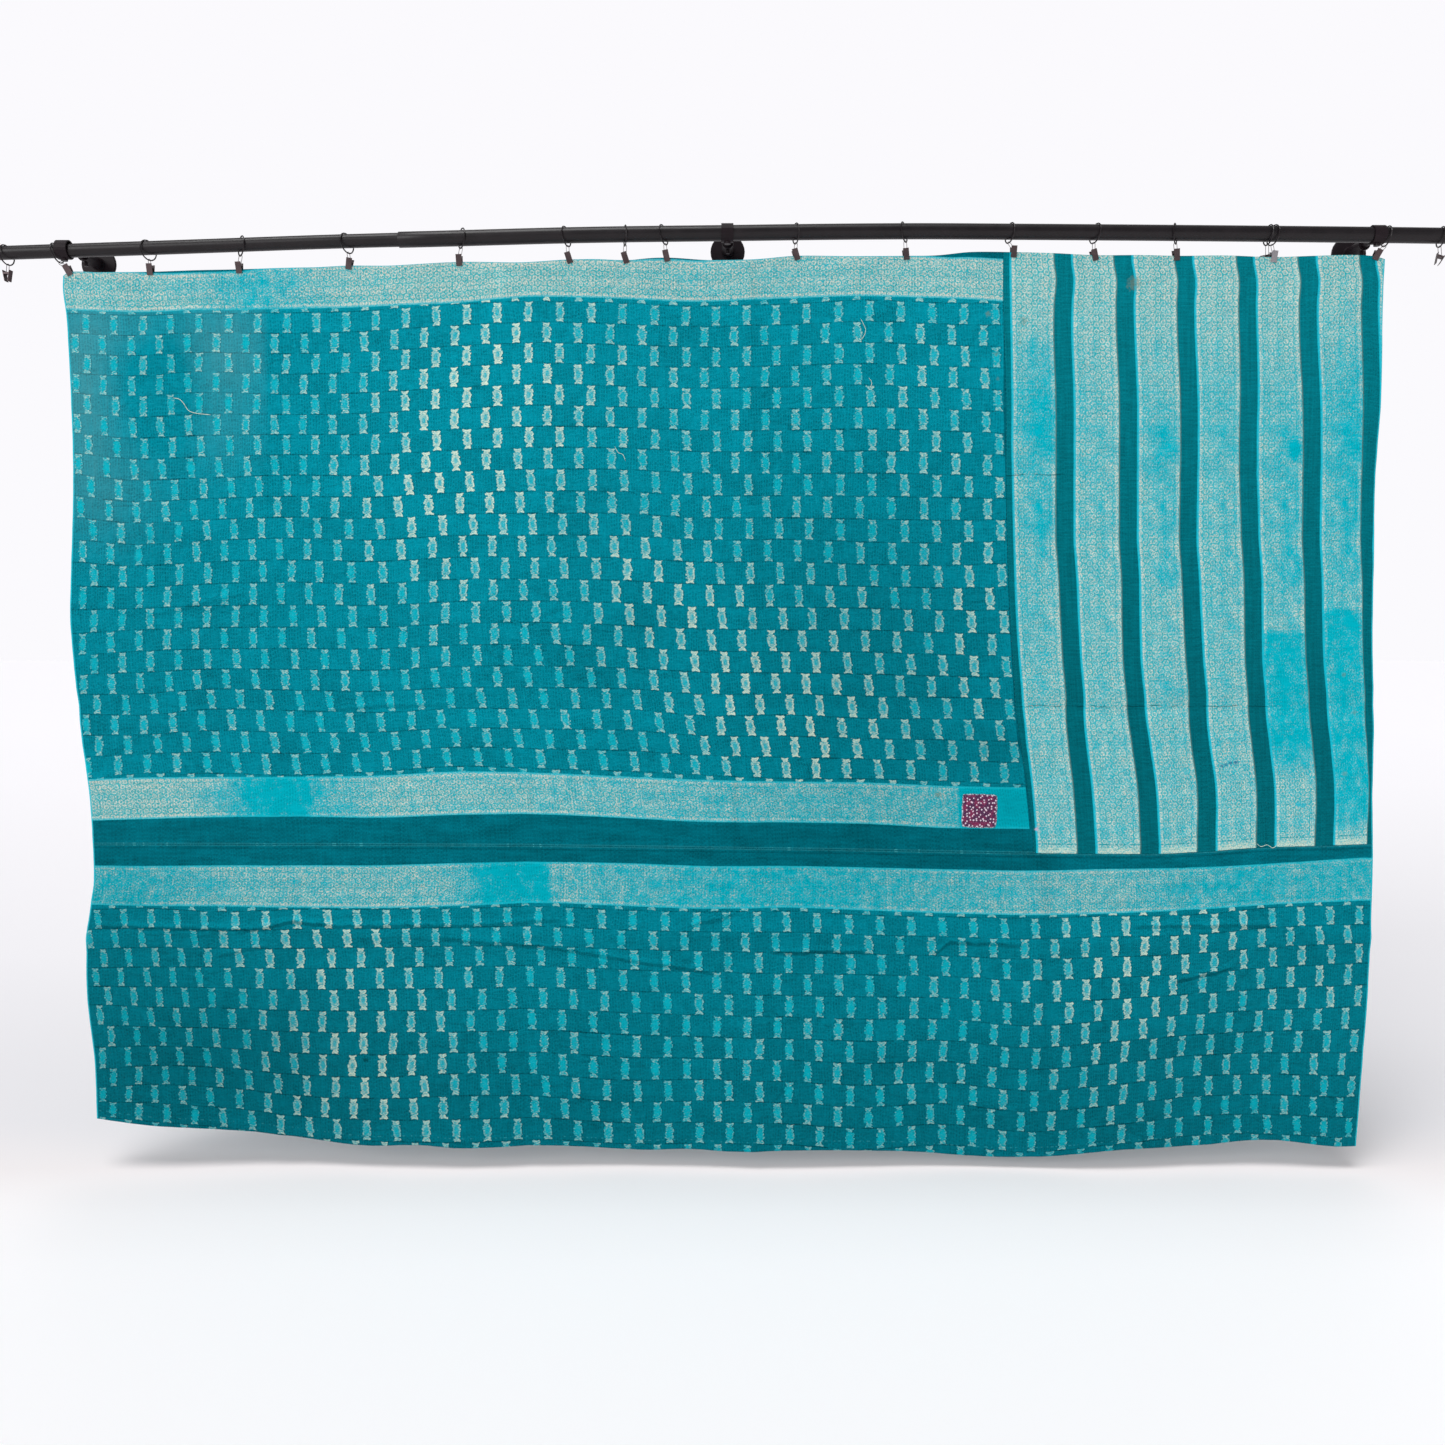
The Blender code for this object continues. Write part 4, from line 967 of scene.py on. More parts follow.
def figured_finish(name, seam_side, marks, creases):
    """seam_side is 1 where the long seam is the panel's foot, and -1 where it is its top."""
    cloth = Finish(name, roughness=0.9, sheen=0.02, specular=0.12, tint=SHEEN_TINT)
    column, row, up = cloth.three("figures")
    light, field, strip = cloth.three("zones")
    cream, cover, tone = cloth.three("wear")
    # fade is partly painted shade, the light's falloff down the cloth, and partly the darker dye of the lower
    # panel.
    fade, veil, deep_fade = cloth.three("age")
    across, down, from_side = cloth.three("lay")
    threads = weave(cloth, across, down)
    puff, thread = stitched(cloth, across, down)
    number, moved = cells(cloth, column, row)
    inside, motif, side = figure(cloth, row, number, moved, cream)
    streaks = cloth.noise(across / 70, down / 5, 6.0, 2.0)
    upright = cloth.noise(across / 3.6, down / 40, 9.0)
    cloudy = cloth.noise(across / 70, down / 22, 15.0, 2.0)
    # The puff term is painted shade in the stitch dips.
    deep_level = 0.82 + puff * 0.14 + (streaks - 0.5) * 0.5 + (upright - 0.5) * 0.5
    deep_level = deep_level + (cloudy - 0.5) * 0.7 + thread * 0.16
    under_stripes = 1 + edge(across, 505.0, 535.0) * 0.14 if seam_side < 0 else 1
    deep = cloth.shaded(DEEP, deep_level * deep_fade * under_stripes)
    plain = ground(cloth, row, number, moved, across, down, threads, puff, thread)
    fibres = veil * (0.55 + cloth.noise(across / 3.6, down / 60, 5.0) * 0.9) + (threads - 0.5) * 0.3
    plain = cloth.mixed(plain, cloth.shaded(dyed(86, 150, 156), 0.9 + threads * 0.2), fibres)
    shadow = edge(abs(inside + 0.9), 1.3, 0.3) * edge(side, 1.0, 3.0)
    # Painted shadow on the right of each motif, and the fade's painted falloff down the cloth.
    plain = cloth.shaded(plain, fade * (1 - shadow * 0.25))
    wobble = (threads - 0.5) * 1.6
    colour = cloth.mixed(deep, plain, edge(field, -0.6, 0.6))
    # The motifs take part of the fade's painted falloff too.
    motif = cloth.shaded(motif, fade * 0.45 + 0.56)
    colour = cloth.mixed(colour, motif, edge(inside, -0.5, 0.5) * edge(field, -0.4, 0.6))
    band = brocade(cloth, across, up, light, cover, threads, 17, 24, 0.30, 1.0)
    in_light = edge(light + wobble, -0.6, 0.6)
    # Painted shade: the puff term darkens the stitch dips, and the fade term is the light's falloff down the
    # cloth.
    colour = cloth.mixed(colour, cloth.shaded(band, (0.88 + puff * 0.12) * (fade * 0.3 + 0.70)), in_light)
    selvage = edge(abs(light - 0.8), 2.4, 1.2)
    colour = cloth.mixed(colour, dyed(20, 172, 188), selvage * 0.7)
    if seam_side > 0:
        colour = cloth.mixed(colour, cloth.shaded(deep, 1.04), edge(strip, -0.6, 0.6))
    seam = edge(abs(down - UPPER_DROP + seam_side * 1.6), 1.4, 0.5)
    loose_runs = edge(cloth.noise(across / 160, 9.0), 0.46, 0.58)
    dashes = 0.30 + edge(cloth.noise(across / 9, 5.0), 0.56, 0.62) * loose_runs
    colour = cloth.mixed(colour, dyed(52, 142, 150), seam * dashes * 0.85)
    # Painted shade in the groove along the long seam.
    colour = cloth.shaded(colour, 1 - edge(abs(down - SEAM_GROOVE_SHADE), 2.0, 0.6) * 0.22)
    if seam_side < 0:
        hem_stitch = edge(abs(down - HEM_STITCHES), 1.4, 0.6) * edge(cloth.noise(across / 7, 2.0), 0.50, 0.58)
        colour = cloth.mixed(colour, dyed(60, 160, 170), hem_stitch * 0.3)
    colour = painted_crease_shade(cloth, marked(cloth, colour, marks), creases)
    colour = edge_thread(cloth, colour, from_side)
    cloth.feed("Base Color", cloth.shaded(colour, tone))
    cloth.bump(puff * 0.55 + thread * 0.18 + crinkled(cloth, across, down))
    return cloth.material


def back_finish(name):
    """The plain cloth of the back, with the same stitches coming through."""
    cloth = Finish(name, roughness=0.9, sheen=0.02, specular=0.12, tint=SHEEN_TINT)
    across, down, _ = cloth.three("lay")
    threads = weave(cloth, across, down)
    puff, thread = stitched(cloth, across, down)
    faded = cloth.noise(across / 260, down / 220, 3.0, 3.0)
    rubbed = edge(cloth.noise(across / 90, down / 70, 14.0, 4.0), 0.54, 0.72)
    weft_bands = cloth.noise(across / 900, down / 9, 18.0, 2.0)
    # The puff term is painted shade in the stitch dips.
    level = 0.80 + puff * 0.22 + (threads - 0.5) * 0.6 + (faded - 0.5) * 0.9 + (weft_bands - 0.5) * 0.30
    plain = cloth.shaded(dyed(0, 120, 136), level)
    plain = cloth.mixed(plain, cloth.shaded(dyed(46, 150, 160), 0.9 + threads * 0.2), rubbed * 0.45)
    cloth.feed("Base Color", cloth.mixed(plain, dyed(96, 172, 176), thread * 0.8))
    cloth.bump(puff * 0.55 + thread * 0.25 + crinkled(cloth, across, down))
    return cloth.material


RUST, SOOT, PINK = dyed(108, 118, 98), dyed(0, 66, 72), dyed(196, 168, 190)
INK, WET = dyed(30, 104, 140), dyed(10, 168, 186)
# After its stains, each figured finish takes runs of creases, drawn as painted shade with a painted
# highlight.
main_finish = figured_finish("figured_cloth", 1, (
    (434, -133, 6, RUST, 0.5), (449, -199, 5, RUST, 0.5), (361, -941, 7, RUST, 0.5),
    (452, -240, 4, RUST, 0.3),
), (
    (((-990, -640, 0.10), (-820, -600, 0.10)), ((-732, -801, 0.14), (-573, -790, 0.13), (-476, -790, 0.10))),
))
lower_finish = figured_finish("lower_cloth", -1, ((-631, -1406, 6, SOOT, 0.8), (553, -1268, 5, SOOT, 0.3)), (
    (
        ((-1086, -1171, 0.24), (-817, -1177, 0.25), (-747, -1162, 0.32), (-687, -1171, 0.26),
         (-418, -1169, 0.20), (-290, -1160, 0.16)),
        ((-65, -1171, 0.18), (21, -1148, 0.18)), ((75, -1217, 0.27), (243, -1215, 0.27)),
        ((357, -1220, 0.26), (385, -1198, 0.23), (506, -1204, 0.20)),
        ((704, -1171, 0.20), (946, -1169, 0.20)),
    ),
    (
        ((-884, -1224, 0.16), (-795, -1206, 0.16)),
        ((-497, -1192, 0.18), (-333, -1205, 0.19), (-162, -1231, 0.21), (-22, -1254, 0.22)),
        ((775, -1268, 0.28), (873, -1246, 0.28)),
    ),
))
plain_back = back_finish("plain_back")
print("figured finish:", len(main_finish.node_tree.nodes), "nodes")

# %% [markdown]
# ## The striped panel's finish
# The striped panel is the same saree turned on its side, so its brocade runs down the cloth, between dark
# stripes. The stripes lean and swell, so they are numbered as the figures were: each stripe's edges lie at
# the same share on both sides of its whole number, and one unit is a tenth of a metre.

# %% Stripes
STRIPE_HEIGHTS = (-53, -176, -357, -541, -744, -847, -933, -1028)
STRIPES = {  # x of a dark stripe's middle at each of those heights
    1: (559, 561, 568, 574, 589, 596, 608, 617), 2: (659, 666, 674, 680, 691, 704, 718, 726),
    3: (761, 768, 777, 782, 799, 807, 821, 824), 4: (862, 871, 876, 888, 900, 911, 923, 926),
    5: (965, 972, 984, 991, 1005, 1016, 1026, 1027), 6: (1067, 1076, 1082, 1084, 1094, 1101, 1108, 1108),
}
STRIPE_HALF = (15.3, 15.7, 15.8, 15.8, 15.9, 16.2, 16.6, 16.9)
LAST_STRIPE_HALF = (14, 15, 14, 10, 8, 8.5, 8.5, 8.5)
WAVER = (  # z, mm that all the stripes stray to the right there
    (-1000, 0), (-850, 0.8), (-816, -0.4), (-782, 1.4), (-748, -0.2), (-714, -1.6), (-680, -1.6),
    (-646, -1.4), (-612, -1.0), (-578, -0.6), (-545, -1.6), (-511, -3.2), (-478, -2.8), (-444, -2.6),
    (-411, -2.4), (-378, -1.6), (-344, -1.2), (-311, -0.4), (-278, 0.2), (-245, 0.0), (-179, -1.4),
    (-146, -1.4), (-113, -0.6), (-90, 1.6), (-75, 1.8), (-48, -2.2), (-30, -2.6),
)
EDGE_STRIP_HEIGHTS = (-53, -274, -357, -642, -847, -881, -933, -1028)
EDGE_STRIP = (  # its left, its right
    (460, 462, 465, 478, 495, 504, 511, 521), (470, 477, 478, 491, 511, 516, 523, 532),
)
STRIPE_SHARE = 0.15


def stripe_number(x, z):
    """A whole number at the middle of each dark stripe, and 0 at the strip beside the seam."""
    strip = line(EDGE_STRIP_HEIGHTS, EDGE_STRIP[1], z)
    lines, numbers = [strip - 15, strip], [0, STRIPE_SHARE]
    for number, places in STRIPES.items():
        middle = line(STRIPE_HEIGHTS, places, z) + along(WAVER, z)
        half = line(STRIPE_HEIGHTS, LAST_STRIPE_HALF if number == 6 else STRIPE_HALF, z)
        lines += [middle - half, middle + half]
        numbers += [number - STRIPE_SHARE, number + STRIPE_SHARE]
    return between(x, lines + [lines[-1] + 70], numbers + [7 - STRIPE_SHARE])


def striped_finish(name, marks):
    """Brocade between dark stripes, with a cream thread at the foot and painted shade along two pressed
    creases across.
    """
    cloth = Finish(name, roughness=0.9, sheen=0.02, specular=0.12, tint=SHEEN_TINT)
    number, up, height = cloth.three("stripes")
    cover, fade, tone = cloth.three("wear")
    across, down, from_side = cloth.three("lay")
    threads = weave(cloth, across, down)
    puff, thread = stitched(cloth, across, down)
    whole = (number + 0.5).floor()
    off = (number - whole) * 100
    into_light = abs(off) - STRIPE_SHARE * 100
    from_left = (number - STRIPE_SHARE).fraction() * 100
    band = brocade(cloth, down, from_left, smaller(into_light, up), cover, threads, 30, 19, 0.06, 0.70)
    ribs = cloth.noise(across / 24, down / 2.4, 6.0)
    long_streaks = cloth.noise(across / 4, down / 90, 11.0)
    # The puff term is painted shade in the stitch dips, and fade is partly painted shade for the light's
    # falloff down the cloth.
    level = 0.90 + puff * 0.08 + (ribs - 0.5) * 0.60 + (long_streaks - 0.5) * 0.50 + thread * 0.08
    colour = cloth.shaded(dyed(2, 110, 122), level * fade)
    wobble = (threads - 0.5) * 1.6
    # The puff term is painted shade in the stitch dips.
    light = cloth.shaded(band, 0.865 + puff * 0.12)
    foot = edge(up, 13.0, 8.0) * edge(threads, 0.38, 0.62)
    light = cloth.mixed(light, dyed(186, 205, 186), foot * 0.75)
    teal_line = edge(abs(up - 16), 1.7, 0.7) * edge(cloth.noise(across / 10, 2.0), 0.45, 0.55)
    light = cloth.mixed(light, dyed(20, 140, 150), teal_line * 0.8)
    colour = cloth.mixed(colour, light, edge(into_light + wobble, -0.6, 0.6))
    bright = edge(abs(into_light - 0.3), 2.8, 1.2) * edge(off, 0.0, 1.0)
    colour = cloth.mixed(colour, dyed(18, 174, 194), bright * 0.92)
    brown = edge(abs(into_light + 0.3), 1.6, 0.5) * edge(off, 0.0, -1.0)
    colour = cloth.mixed(colour, dyed(78, 112, 108), brown * 0.7)
    waver = cloth.noise(across / 40, 4.0) * 9 + cloth.noise(across / 9, 6.0) * 2
    # Painted shade: a dark line along each of two pressed creases.
    for fold_z, reach, depth in ((-783.5, 950, 0.5), (-393.5, 600, 0.5)):
        crease = edge(abs(height - fold_z + waver), 1.5, 0.4) * edge(across, reach, reach - 60)
        colour = cloth.shaded(colour, 1 - crease * edge(cloth.noise(across / 16, fold_z), 0.35, 0.55) * depth)
    colour = marked(cloth, colour, marks)
    colour = edge_thread(cloth, colour, from_side)
    cloth.feed("Base Color", cloth.shaded(colour, tone))
    cloth.bump(puff * 0.55 + thread * 0.18 + crinkled(cloth, across, down))
    return cloth.material


stripe_finish = striped_finish("striped_cloth", (
    (676, -84, 15, RUST, 0.5), (494, -145, 9, RUST, 0.4), (531, -1000, 5, PINK, 0.8),
    (488, -180, 4, RUST, 0.4), (1050, -735, 5, RUST, 0.4), (1058, -905, 6, RUST, 0.35),
    (1072, -800, 5, RUST, 0.35),
    (846, -892, 4, INK, 0.7), (853, -889, 4, INK, 0.7), (861, -887, 4, INK, 0.8), (870, -885, 5, INK, 0.7),
    (980, -958, 7, WET, 0.8), (989, -959, 6, WET, 0.8),
))
test_number = stripe_number(np.array([761.0]), np.array([-53.0]))
print("stripe number at the third stripe's middle:", round(float(test_number[0]), 2))

# %% [markdown]
# ## Making the panels
# With the lines, the relief and the finishes ready, each panel is made, its pattern numbers are kept on its
# points, and it takes the place of its solid.

# %% Panels
UPPER_ROW_COUNT, LOWER_ROW_COUNT = 153, 82
left_places = steps(float(left_column), float(seam_column), True, False)
right_places = steps(float(seam_column), float(right_column), False, True)
upper_even = np.linspace(0, 1, UPPER_ROW_COUNT + 1)[1:]
lower_even = np.linspace(1, 2, LOWER_ROW_COUNT + 1)[:-1]
upper_rows = np.concatenate([np.array(EDGE_STEPS) / UPPER_DROP, upper_even])
lower_rows = np.concatenate([lower_even, 2 - np.array(EDGE_STEPS[::-1]) / LOWER_DROP])

TOP_PEEK = (  # x, mm of the dark back cloth that shows above the light border
    (-1110, 0), (-1000, 0), (-960, 3.5), (-900, 5), (-810, 4), (-760, 0), (-180, 0), (-140, 2.5),
    (-60, 3.5), (-10, 0), (300, 0), (335, 2), (380, 8), (440, 12), (475, 13),
)
# Where tone is above 0 the fold is rubbed lighter; where it is below 0 it is painted shade in the crease.
PRESSED_LINES = (  # x at the top, x at 1 m down, top z, foot z, reach, tone
    (-380, -372, 0, -650, 9, 0.07), (43, 46, 0, -900, 6, -0.08), (-3, -2, -1130, -1330, 4.5, -0.16),
    (13, 13, -875, -1075, 5, -0.15), (-336, -338, -875, -1075, 4, -0.09),
    (-567, -567, -900, -1075, 4, -0.06), (540, 547, -1050, -1490, 12, -0.09),
    (-1058, -1050, -520, -880, 4, 0.06), (560, 562, -100, -700, 4, -0.04),
)


def wear_and_shade_tone(x, z):
    """How light the cloth is as a whole: soft patches of tone, with a painted shadow and a painted light
    beside one fold; pressed folds, rubbed lighter on some and with painted shade in the crease on others; and
    painted shade in the wrinkles.
    """
    tone = patches(x, z, GROUND_TONE, 1.0)
    for top_x, metre_x, top_z, foot_z, reach, change in PRESSED_LINES:
        off = x - top_x + (metre_x - top_x) * z / 1000
        ends = eased((z - foot_z) / 80) * eased((top_z + 20 - z) / 20)
        tone += change * np.exp(-((off / reach) ** 2)) * ends
    for place, height, across, down, slope, rise in PUCKER_LINES:
        off = z - height - slope * (x - place) - 4 * np.sin((x - place) / 38)
        # Painted shade along each pucker line.
        tone -= 0.10 * np.exp(-(((off + 3) / 6) ** 2) - ((x - place) / across) ** 2)
    return tone


def deep_fade(x):
    """The dark band is darker to the right."""
    return 1.0 - 0.06 * eased((x + 700) / 500) - 0.08 * eased(x / 500)


MID_UPPER = -500  # between the border at the top of the main panel and the band at its foot
PANEL_SPLIT = -1050  # between the figures of the main panel and those of the lower one


def ground_shade_and_dye(x, z):
    """Darker down the cloth: partly painted shade for the light's falloff towards the hem and partly the dye.
    It is a little darker to the right, and the lower panel was dyed darker.
    """
    upper = 0.94 - 0.18 * np.clip((-z - 130) / 700, 0, 1) - 0.05 * eased((x + 100) / 300)
    lower = 0.69 - 0.17 * np.clip((-z - 1180) / 330, 0, 1) - 0.02 * eased((x - 500) / 300)
    return np.where(z > PANEL_SPLIT, upper, lower)


def faded(x, z):
    """How thickly pale fibres veil the ground."""
    return np.clip(patches(x, z, VEIL, 0.0), 0, 0.7) * eased((VEIL_END - x) / 8)


BARE_END = 396  # x where the light band's cream threads stop, past the patch


def make_main():
    """The figured panel, with its border, its light band and its dark band."""
    finishes = main_finish, plain_back
    obj, x, z, _ = panel("main_panel", left_places, upper_rows, finishes, -SEAM_GAP / 2, SEAM_GAP / 2)
    column, row = figure_numbers(x, z, UPPER_AT, UPPER_ROWS, UPPER_HEIGHTS, UPPER_COLUMNS)
    over_border = z - line(UPPER_AT, BORDER_FOOT, x)
    border = np.minimum(over_border, along(TOP_EDGE, x) - z - along(TOP_PEEK, x) + 0.5)
    under_top = line(UPPER_AT, BAND_ONE_TOP, x) - z
    over_foot = z - line(UPPER_AT, BAND_ONE_FOOT, x)
    light = np.maximum(border, np.minimum(under_top, over_foot))
    field = np.minimum(-over_border, -under_top)
    up = np.where(z > MID_UPPER, over_border, over_foot)
    strip = x - line(EDGE_STRIP_HEIGHTS, EDGE_STRIP[0], z)
    bare_end = eased((x - BARE_END) / 6) * (z < MID_UPPER)
    cover = np.where(z > MID_UPPER, along(BORDER_COVER, x), along(BAND_ONE_COVER, x))
    cover = cover * (1 - bare_end) - bare_end * 0.5
    keep_vector(obj, "figures", column, row, up)
    keep_vector(obj, "zones", light, field, strip)
    keep_vector(obj, "wear", patches(x, z, FIGURE_CREAM, 0.22), cover, wear_and_shade_tone(x, z))
    keep_vector(obj, "age", ground_shade_and_dye(x, z), faded(x, z), deep_fade(x))
    return obj


def make_lower():
    """The long figured panel, with its dark strip and its light band."""
    columns, finishes = np.concatenate([left_places, right_places[1:]]), (lower_finish, plain_back)
    obj, x, z, seam_z = panel("lower_panel", columns, lower_rows, finishes, 0.0, -SEAM_GAP / 2)
    column, row = figure_numbers(x, z, LOWER_AT, LOWER_ROWS, LOWER_HEIGHTS, LOWER_COLUMNS)
    under_top = line(LOWER_AT, BAND_TWO_TOP, x) - z
    over_foot = z - line(LOWER_AT, BAND_TWO_FOOT, x)
    keep_vector(obj, "figures", column, row, over_foot)
    keep_vector(obj, "zones", np.minimum(under_top, over_foot), -over_foot, seam_z - z)
    cream, cover = patches(x, z, FIGURE_CREAM, 0.20), along(BAND_TWO_COVER, x)
    keep_vector(obj, "wear", cream, cover, wear_and_shade_tone(x, z) - 0.03)
    keep_vector(obj, "age", ground_shade_and_dye(x, z), np.zeros_like(x), deep_fade(x))
    return obj


def make_striped():
    """The striped panel."""
    finishes = stripe_finish, plain_back
    obj, x, z, seam_z = panel("striped_panel", right_places, upper_rows, finishes, SEAM_GAP / 2, SEAM_GAP / 2)
    cover = patches(x, z, STRIPE_COVER, 0.68) + 0.36 * np.exp(-((z + 40) / 130) ** 2)
    number = stripe_number(x, z)
    for dark_stripe, top_z, foot_z, loss in STRIPE_BARE:
        in_stripe = (number > dark_stripe) & (number < dark_stripe + 1)
        cover = cover - loss * in_stripe * eased((top_z - z) / 14) * eased((z - foot_z + 60) / 60)
    keep_vector(obj, "stripes", number, z - seam_z, z)
    # Darker down the cloth: partly painted shade for the light's falloff towards the seam, partly the dye.
    fade = 1.02 - 0.30 * np.clip((-z - 100) / 700, 0, 1)
    keep_vector(obj, "wear", cover, fade, wear_and_shade_tone(x, z) * 0.5 + 0.5)
    return obj


main_panel, lower_panel, striped_panel = make_main(), make_lower(), make_striped()
main_clips = [f"clip_{n:02d}" for n in range(2, 12)]
striped_clips = [f"clip_{n:02d}" for n in (12, 13, 14, 16, 17)]
for obj, node, slot, flat, on in (
    (main_panel, "quilt_main_panel", "figured_cloth", (1.600, 0.985), main_clips),
    (striped_panel, "quilt_striped_panel", "striped_cloth", (0.620, 0.995), striped_clips),
    (lower_panel, "quilt_lower_panel", "lower_cloth", (2.210, 0.525), ["main_panel", "striped_panel"]),
):
    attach(obj, "root")
    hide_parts(node)
print("three panels", [len(o.data.polygons) for o in (main_panel, lower_panel, striped_panel)])

# %% [markdown]
# ## The printed patch
# A small square of maroon cotton with a sprigged print covers a hole near the end of the light band. It
# is a thin sheet of its own, with soft corners, and its edges are sewn down so that its middle stands
# a little proud of them.

# %% Patch
PATCH_MIDDLE = (432.0, -969.0)
PATCH_SIZE = (60.0, 58.0)
PATCH_TURN = math.radians(-1.5)
PATCH_STAND = 2.6
PATCH_THICK = 1.0


def patch_finish():
    """Maroon cotton with pale flecks in two sizes, and pale stitches at its edge."""
    cloth = Finish("printed_patch", roughness=0.86, sheen=0.12, specular=0.25)
    across, down, edge_in = cloth.three("lay")
    threads = cloth.noise(across / 0.9, down / 0.9, 0.0, 2.0)
    sway_x = cloth.noise(across / 5, down / 5, 1.0)
    sway_y = cloth.noise(across / 5, down / 5, 7.0)
    spot_place = cloth.point((across + sway_x * 2) / 6.0, (down + sway_y * 2) / 6.5)
    small_place = cloth.point(across / 3.1 + 7, down / 3.1)
    spot, small = (
        cloth.add(
            "ShaderNodeTexVoronoi", {"voronoi_dimensions": "2D"},
            {"Vector": at, "Scale": 1.0, "Randomness": random},
        )
        for at, random in ((spot_place, 0.85), (small_place, 1.0))
    )
    mottle = cloth.noise(across / 9, down / 9, 4.0)
    cotton = cloth.mixed(dyed(66, 28, 64), dyed(112, 30, 70), edge(mottle, 0.42, 0.66))
    cotton = cloth.mixed(cotton, dyed(150, 112, 142), edge(small, 0.24, 0.10) * 0.4)
    cotton = cloth.mixed(cotton, dyed(214, 196, 208), edge(spot, 0.27, 0.15) * 0.92)
    cotton = cloth.shaded(cotton, 0.84 + threads * 0.34)
    stitch = edge(cloth.noise(across / 2.2, down / 2.2, 12.0), 0.46, 0.56) * edge(edge_in, 2.2, 1.2)
    cloth.feed("Base Color", cloth.mixed(cotton, dyed(170, 196, 204), stitch * 0.7))
    cloth.bump(threads * 0.3 + edge(edge_in, 3.4, 1.8) * 0.3)
    return cloth.material


def make_patch():
    """The patch as a small sheet with round corners, sewn down at its edges."""
    places = np.linspace(-1, 1, 41)
    across, up = np.meshgrid(places, -places)
    # A square grid is drawn towards a circle near its corners, which rounds them and keeps the quads even.
    corner = 1 - 0.055 * (across * up) ** 4
    wave = 1 + 0.010 * np.sin(up * 9) * np.abs(across) ** 3 + 0.008 * np.sin(across * 11) * np.abs(up) ** 3
    side_x, side_y = across * corner * wave * PATCH_SIZE[0] / 2, up * corner * wave * PATCH_SIZE[1] / 2
    cos, sin = math.cos(PATCH_TURN), math.sin(PATCH_TURN)
    x = PATCH_MIDDLE[0] + side_x * cos - side_y * sin
    z = PATCH_MIDDLE[1] + side_x * sin + side_y * cos
    inward = (1 - np.maximum(np.abs(across), np.abs(up))) * 30
    stand = PATCH_STAND - 0.5 + 0.6 * eased(inward / 5) + 0.12 * np.sin(side_x / 4) * np.sin(side_y / 5)
    half = PATCH_THICK / 2 * (0.45 + 0.55 * eased(inward / 1.5))
    middle = HANGING_Y - relief(x, z) - puckers(x, z) - stand
    front, back = (np.stack([x, middle + side * half, z], -1) for side in (-1, 1))
    finish = patch_finish()
    obj = sheet_mesh("sewn_patch", front, back, (finish, finish))
    keep_vector(obj, "lay", side_x, side_y, inward)
    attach(obj, "root")
    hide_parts("quilt_patch")
    return obj


sewn_patch = make_patch()
print("patch", len(sewn_patch.data.polygons), "faces")

# %% [markdown]
# ## Loose threads
# A few ends of broken pattern thread hang out of the weave. Each is a fine tube that lies on the cloth: its
# line is swept from a few places on the quilt, and a ring of six points is carried along it.

# %% Threads
THREADS = {  # name: (radius, places x, z)
    "thread_long": (0.55, (
        (-929, -272), (-918, -274), (-911, -281), (-904, -292), (-896, -296), (-886, -298), (-876, -299),
        (-866, -300),
    )),
    "thread_high": (0.45, ((221, -141), (226, -150), (230, -160), (227, -170), (222, -176))),
    "thread_short": (0.45, ((-190, -352), (-184, -362), (-176, -366), (-172, -376))),
    "thread_right": (0.40, ((236, -238), (241, -246), (238, -256))),
    "thread_seam": (0.45, ((910, -1026), (918, -1031), (928, -1028), (938, -1033), (946, -1027))),
}
SIDES = 6


def thread_piece(name, radius, places, finish):
    """One end of thread: a ring of points carried along its line, closed at both ends."""
    stops = np.linspace(0, len(places) - 1, 8 * len(places))
    x, z = (along(tuple(enumerate(values)), stops) for values in zip(*places))
    lift = CLOTH_THICK / 2 + radius * (0.7 + 0.5 * np.sin(stops * 3.1) ** 2)
    y = HANGING_Y - relief(x, z) - puckers(x, z) - lift
    line_points = np.stack([x, y, z], -1)
    way = np.gradient(line_points, axis=0)
    way /= np.linalg.norm(way, axis=1)[:, None]
    out = np.cross(way, (0.0, -1.0, 0.0))
    out /= np.linalg.norm(out, axis=1)[:, None]
    third = np.cross(way, out)
    turns = np.arange(SIDES) * 2 * math.pi / SIDES
    thin = radius * np.clip(np.minimum(stops, stops[::-1]) * 3, 0.35, 1)[:, None, None]
    ring = out[:, None] * np.cos(turns)[None, :, None] + third[:, None] * np.sin(turns)[None, :, None]
    points = (line_points[:, None] + ring * thin).reshape(-1, 3)
    index = np.arange(len(points)).reshape(-1, SIDES)
    turned = np.roll(index, -1, axis=1)
    walls = np.stack([index[:-1], turned[:-1], turned[1:], index[1:]], -1).reshape(-1, 4).tolist()
    obj = new_piece(name, points, walls + [index[0, ::-1].tolist(), index[-1].tolist()], [finish])
    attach(obj, "root")
    return obj


def thread_finish():
    """Cream yarn with a little of the teal ply in it."""
    yarn = Finish("cream_thread", roughness=0.7, specular=0.3)
    x, y, z = yarn.parts(yarn.add("ShaderNodeTexCoord", output=3))
    twist = yarn.noise(x * 900, z * 900, y * 900)
    yarn.feed("Base Color", yarn.mixed(dyed(150, 196, 190), dyed(214, 216, 196), edge(twist, 0.35, 0.6)))
    return yarn.material


yarn_finish = thread_finish()
threads_made = [thread_piece(name, radius, places, yarn_finish) for name, (radius, places) in THREADS.items()]
print(len(threads_made), "loose threads")

# %% [markdown]
# ## Metal
# The rod, brackets and rings are steel under a satin black coat with a few small pale scuffs. The clips
# are a browned metal, and one is bright. The frame's own solids keep their shapes here and take these
# finishes on their slots.

# %% Metal finishes


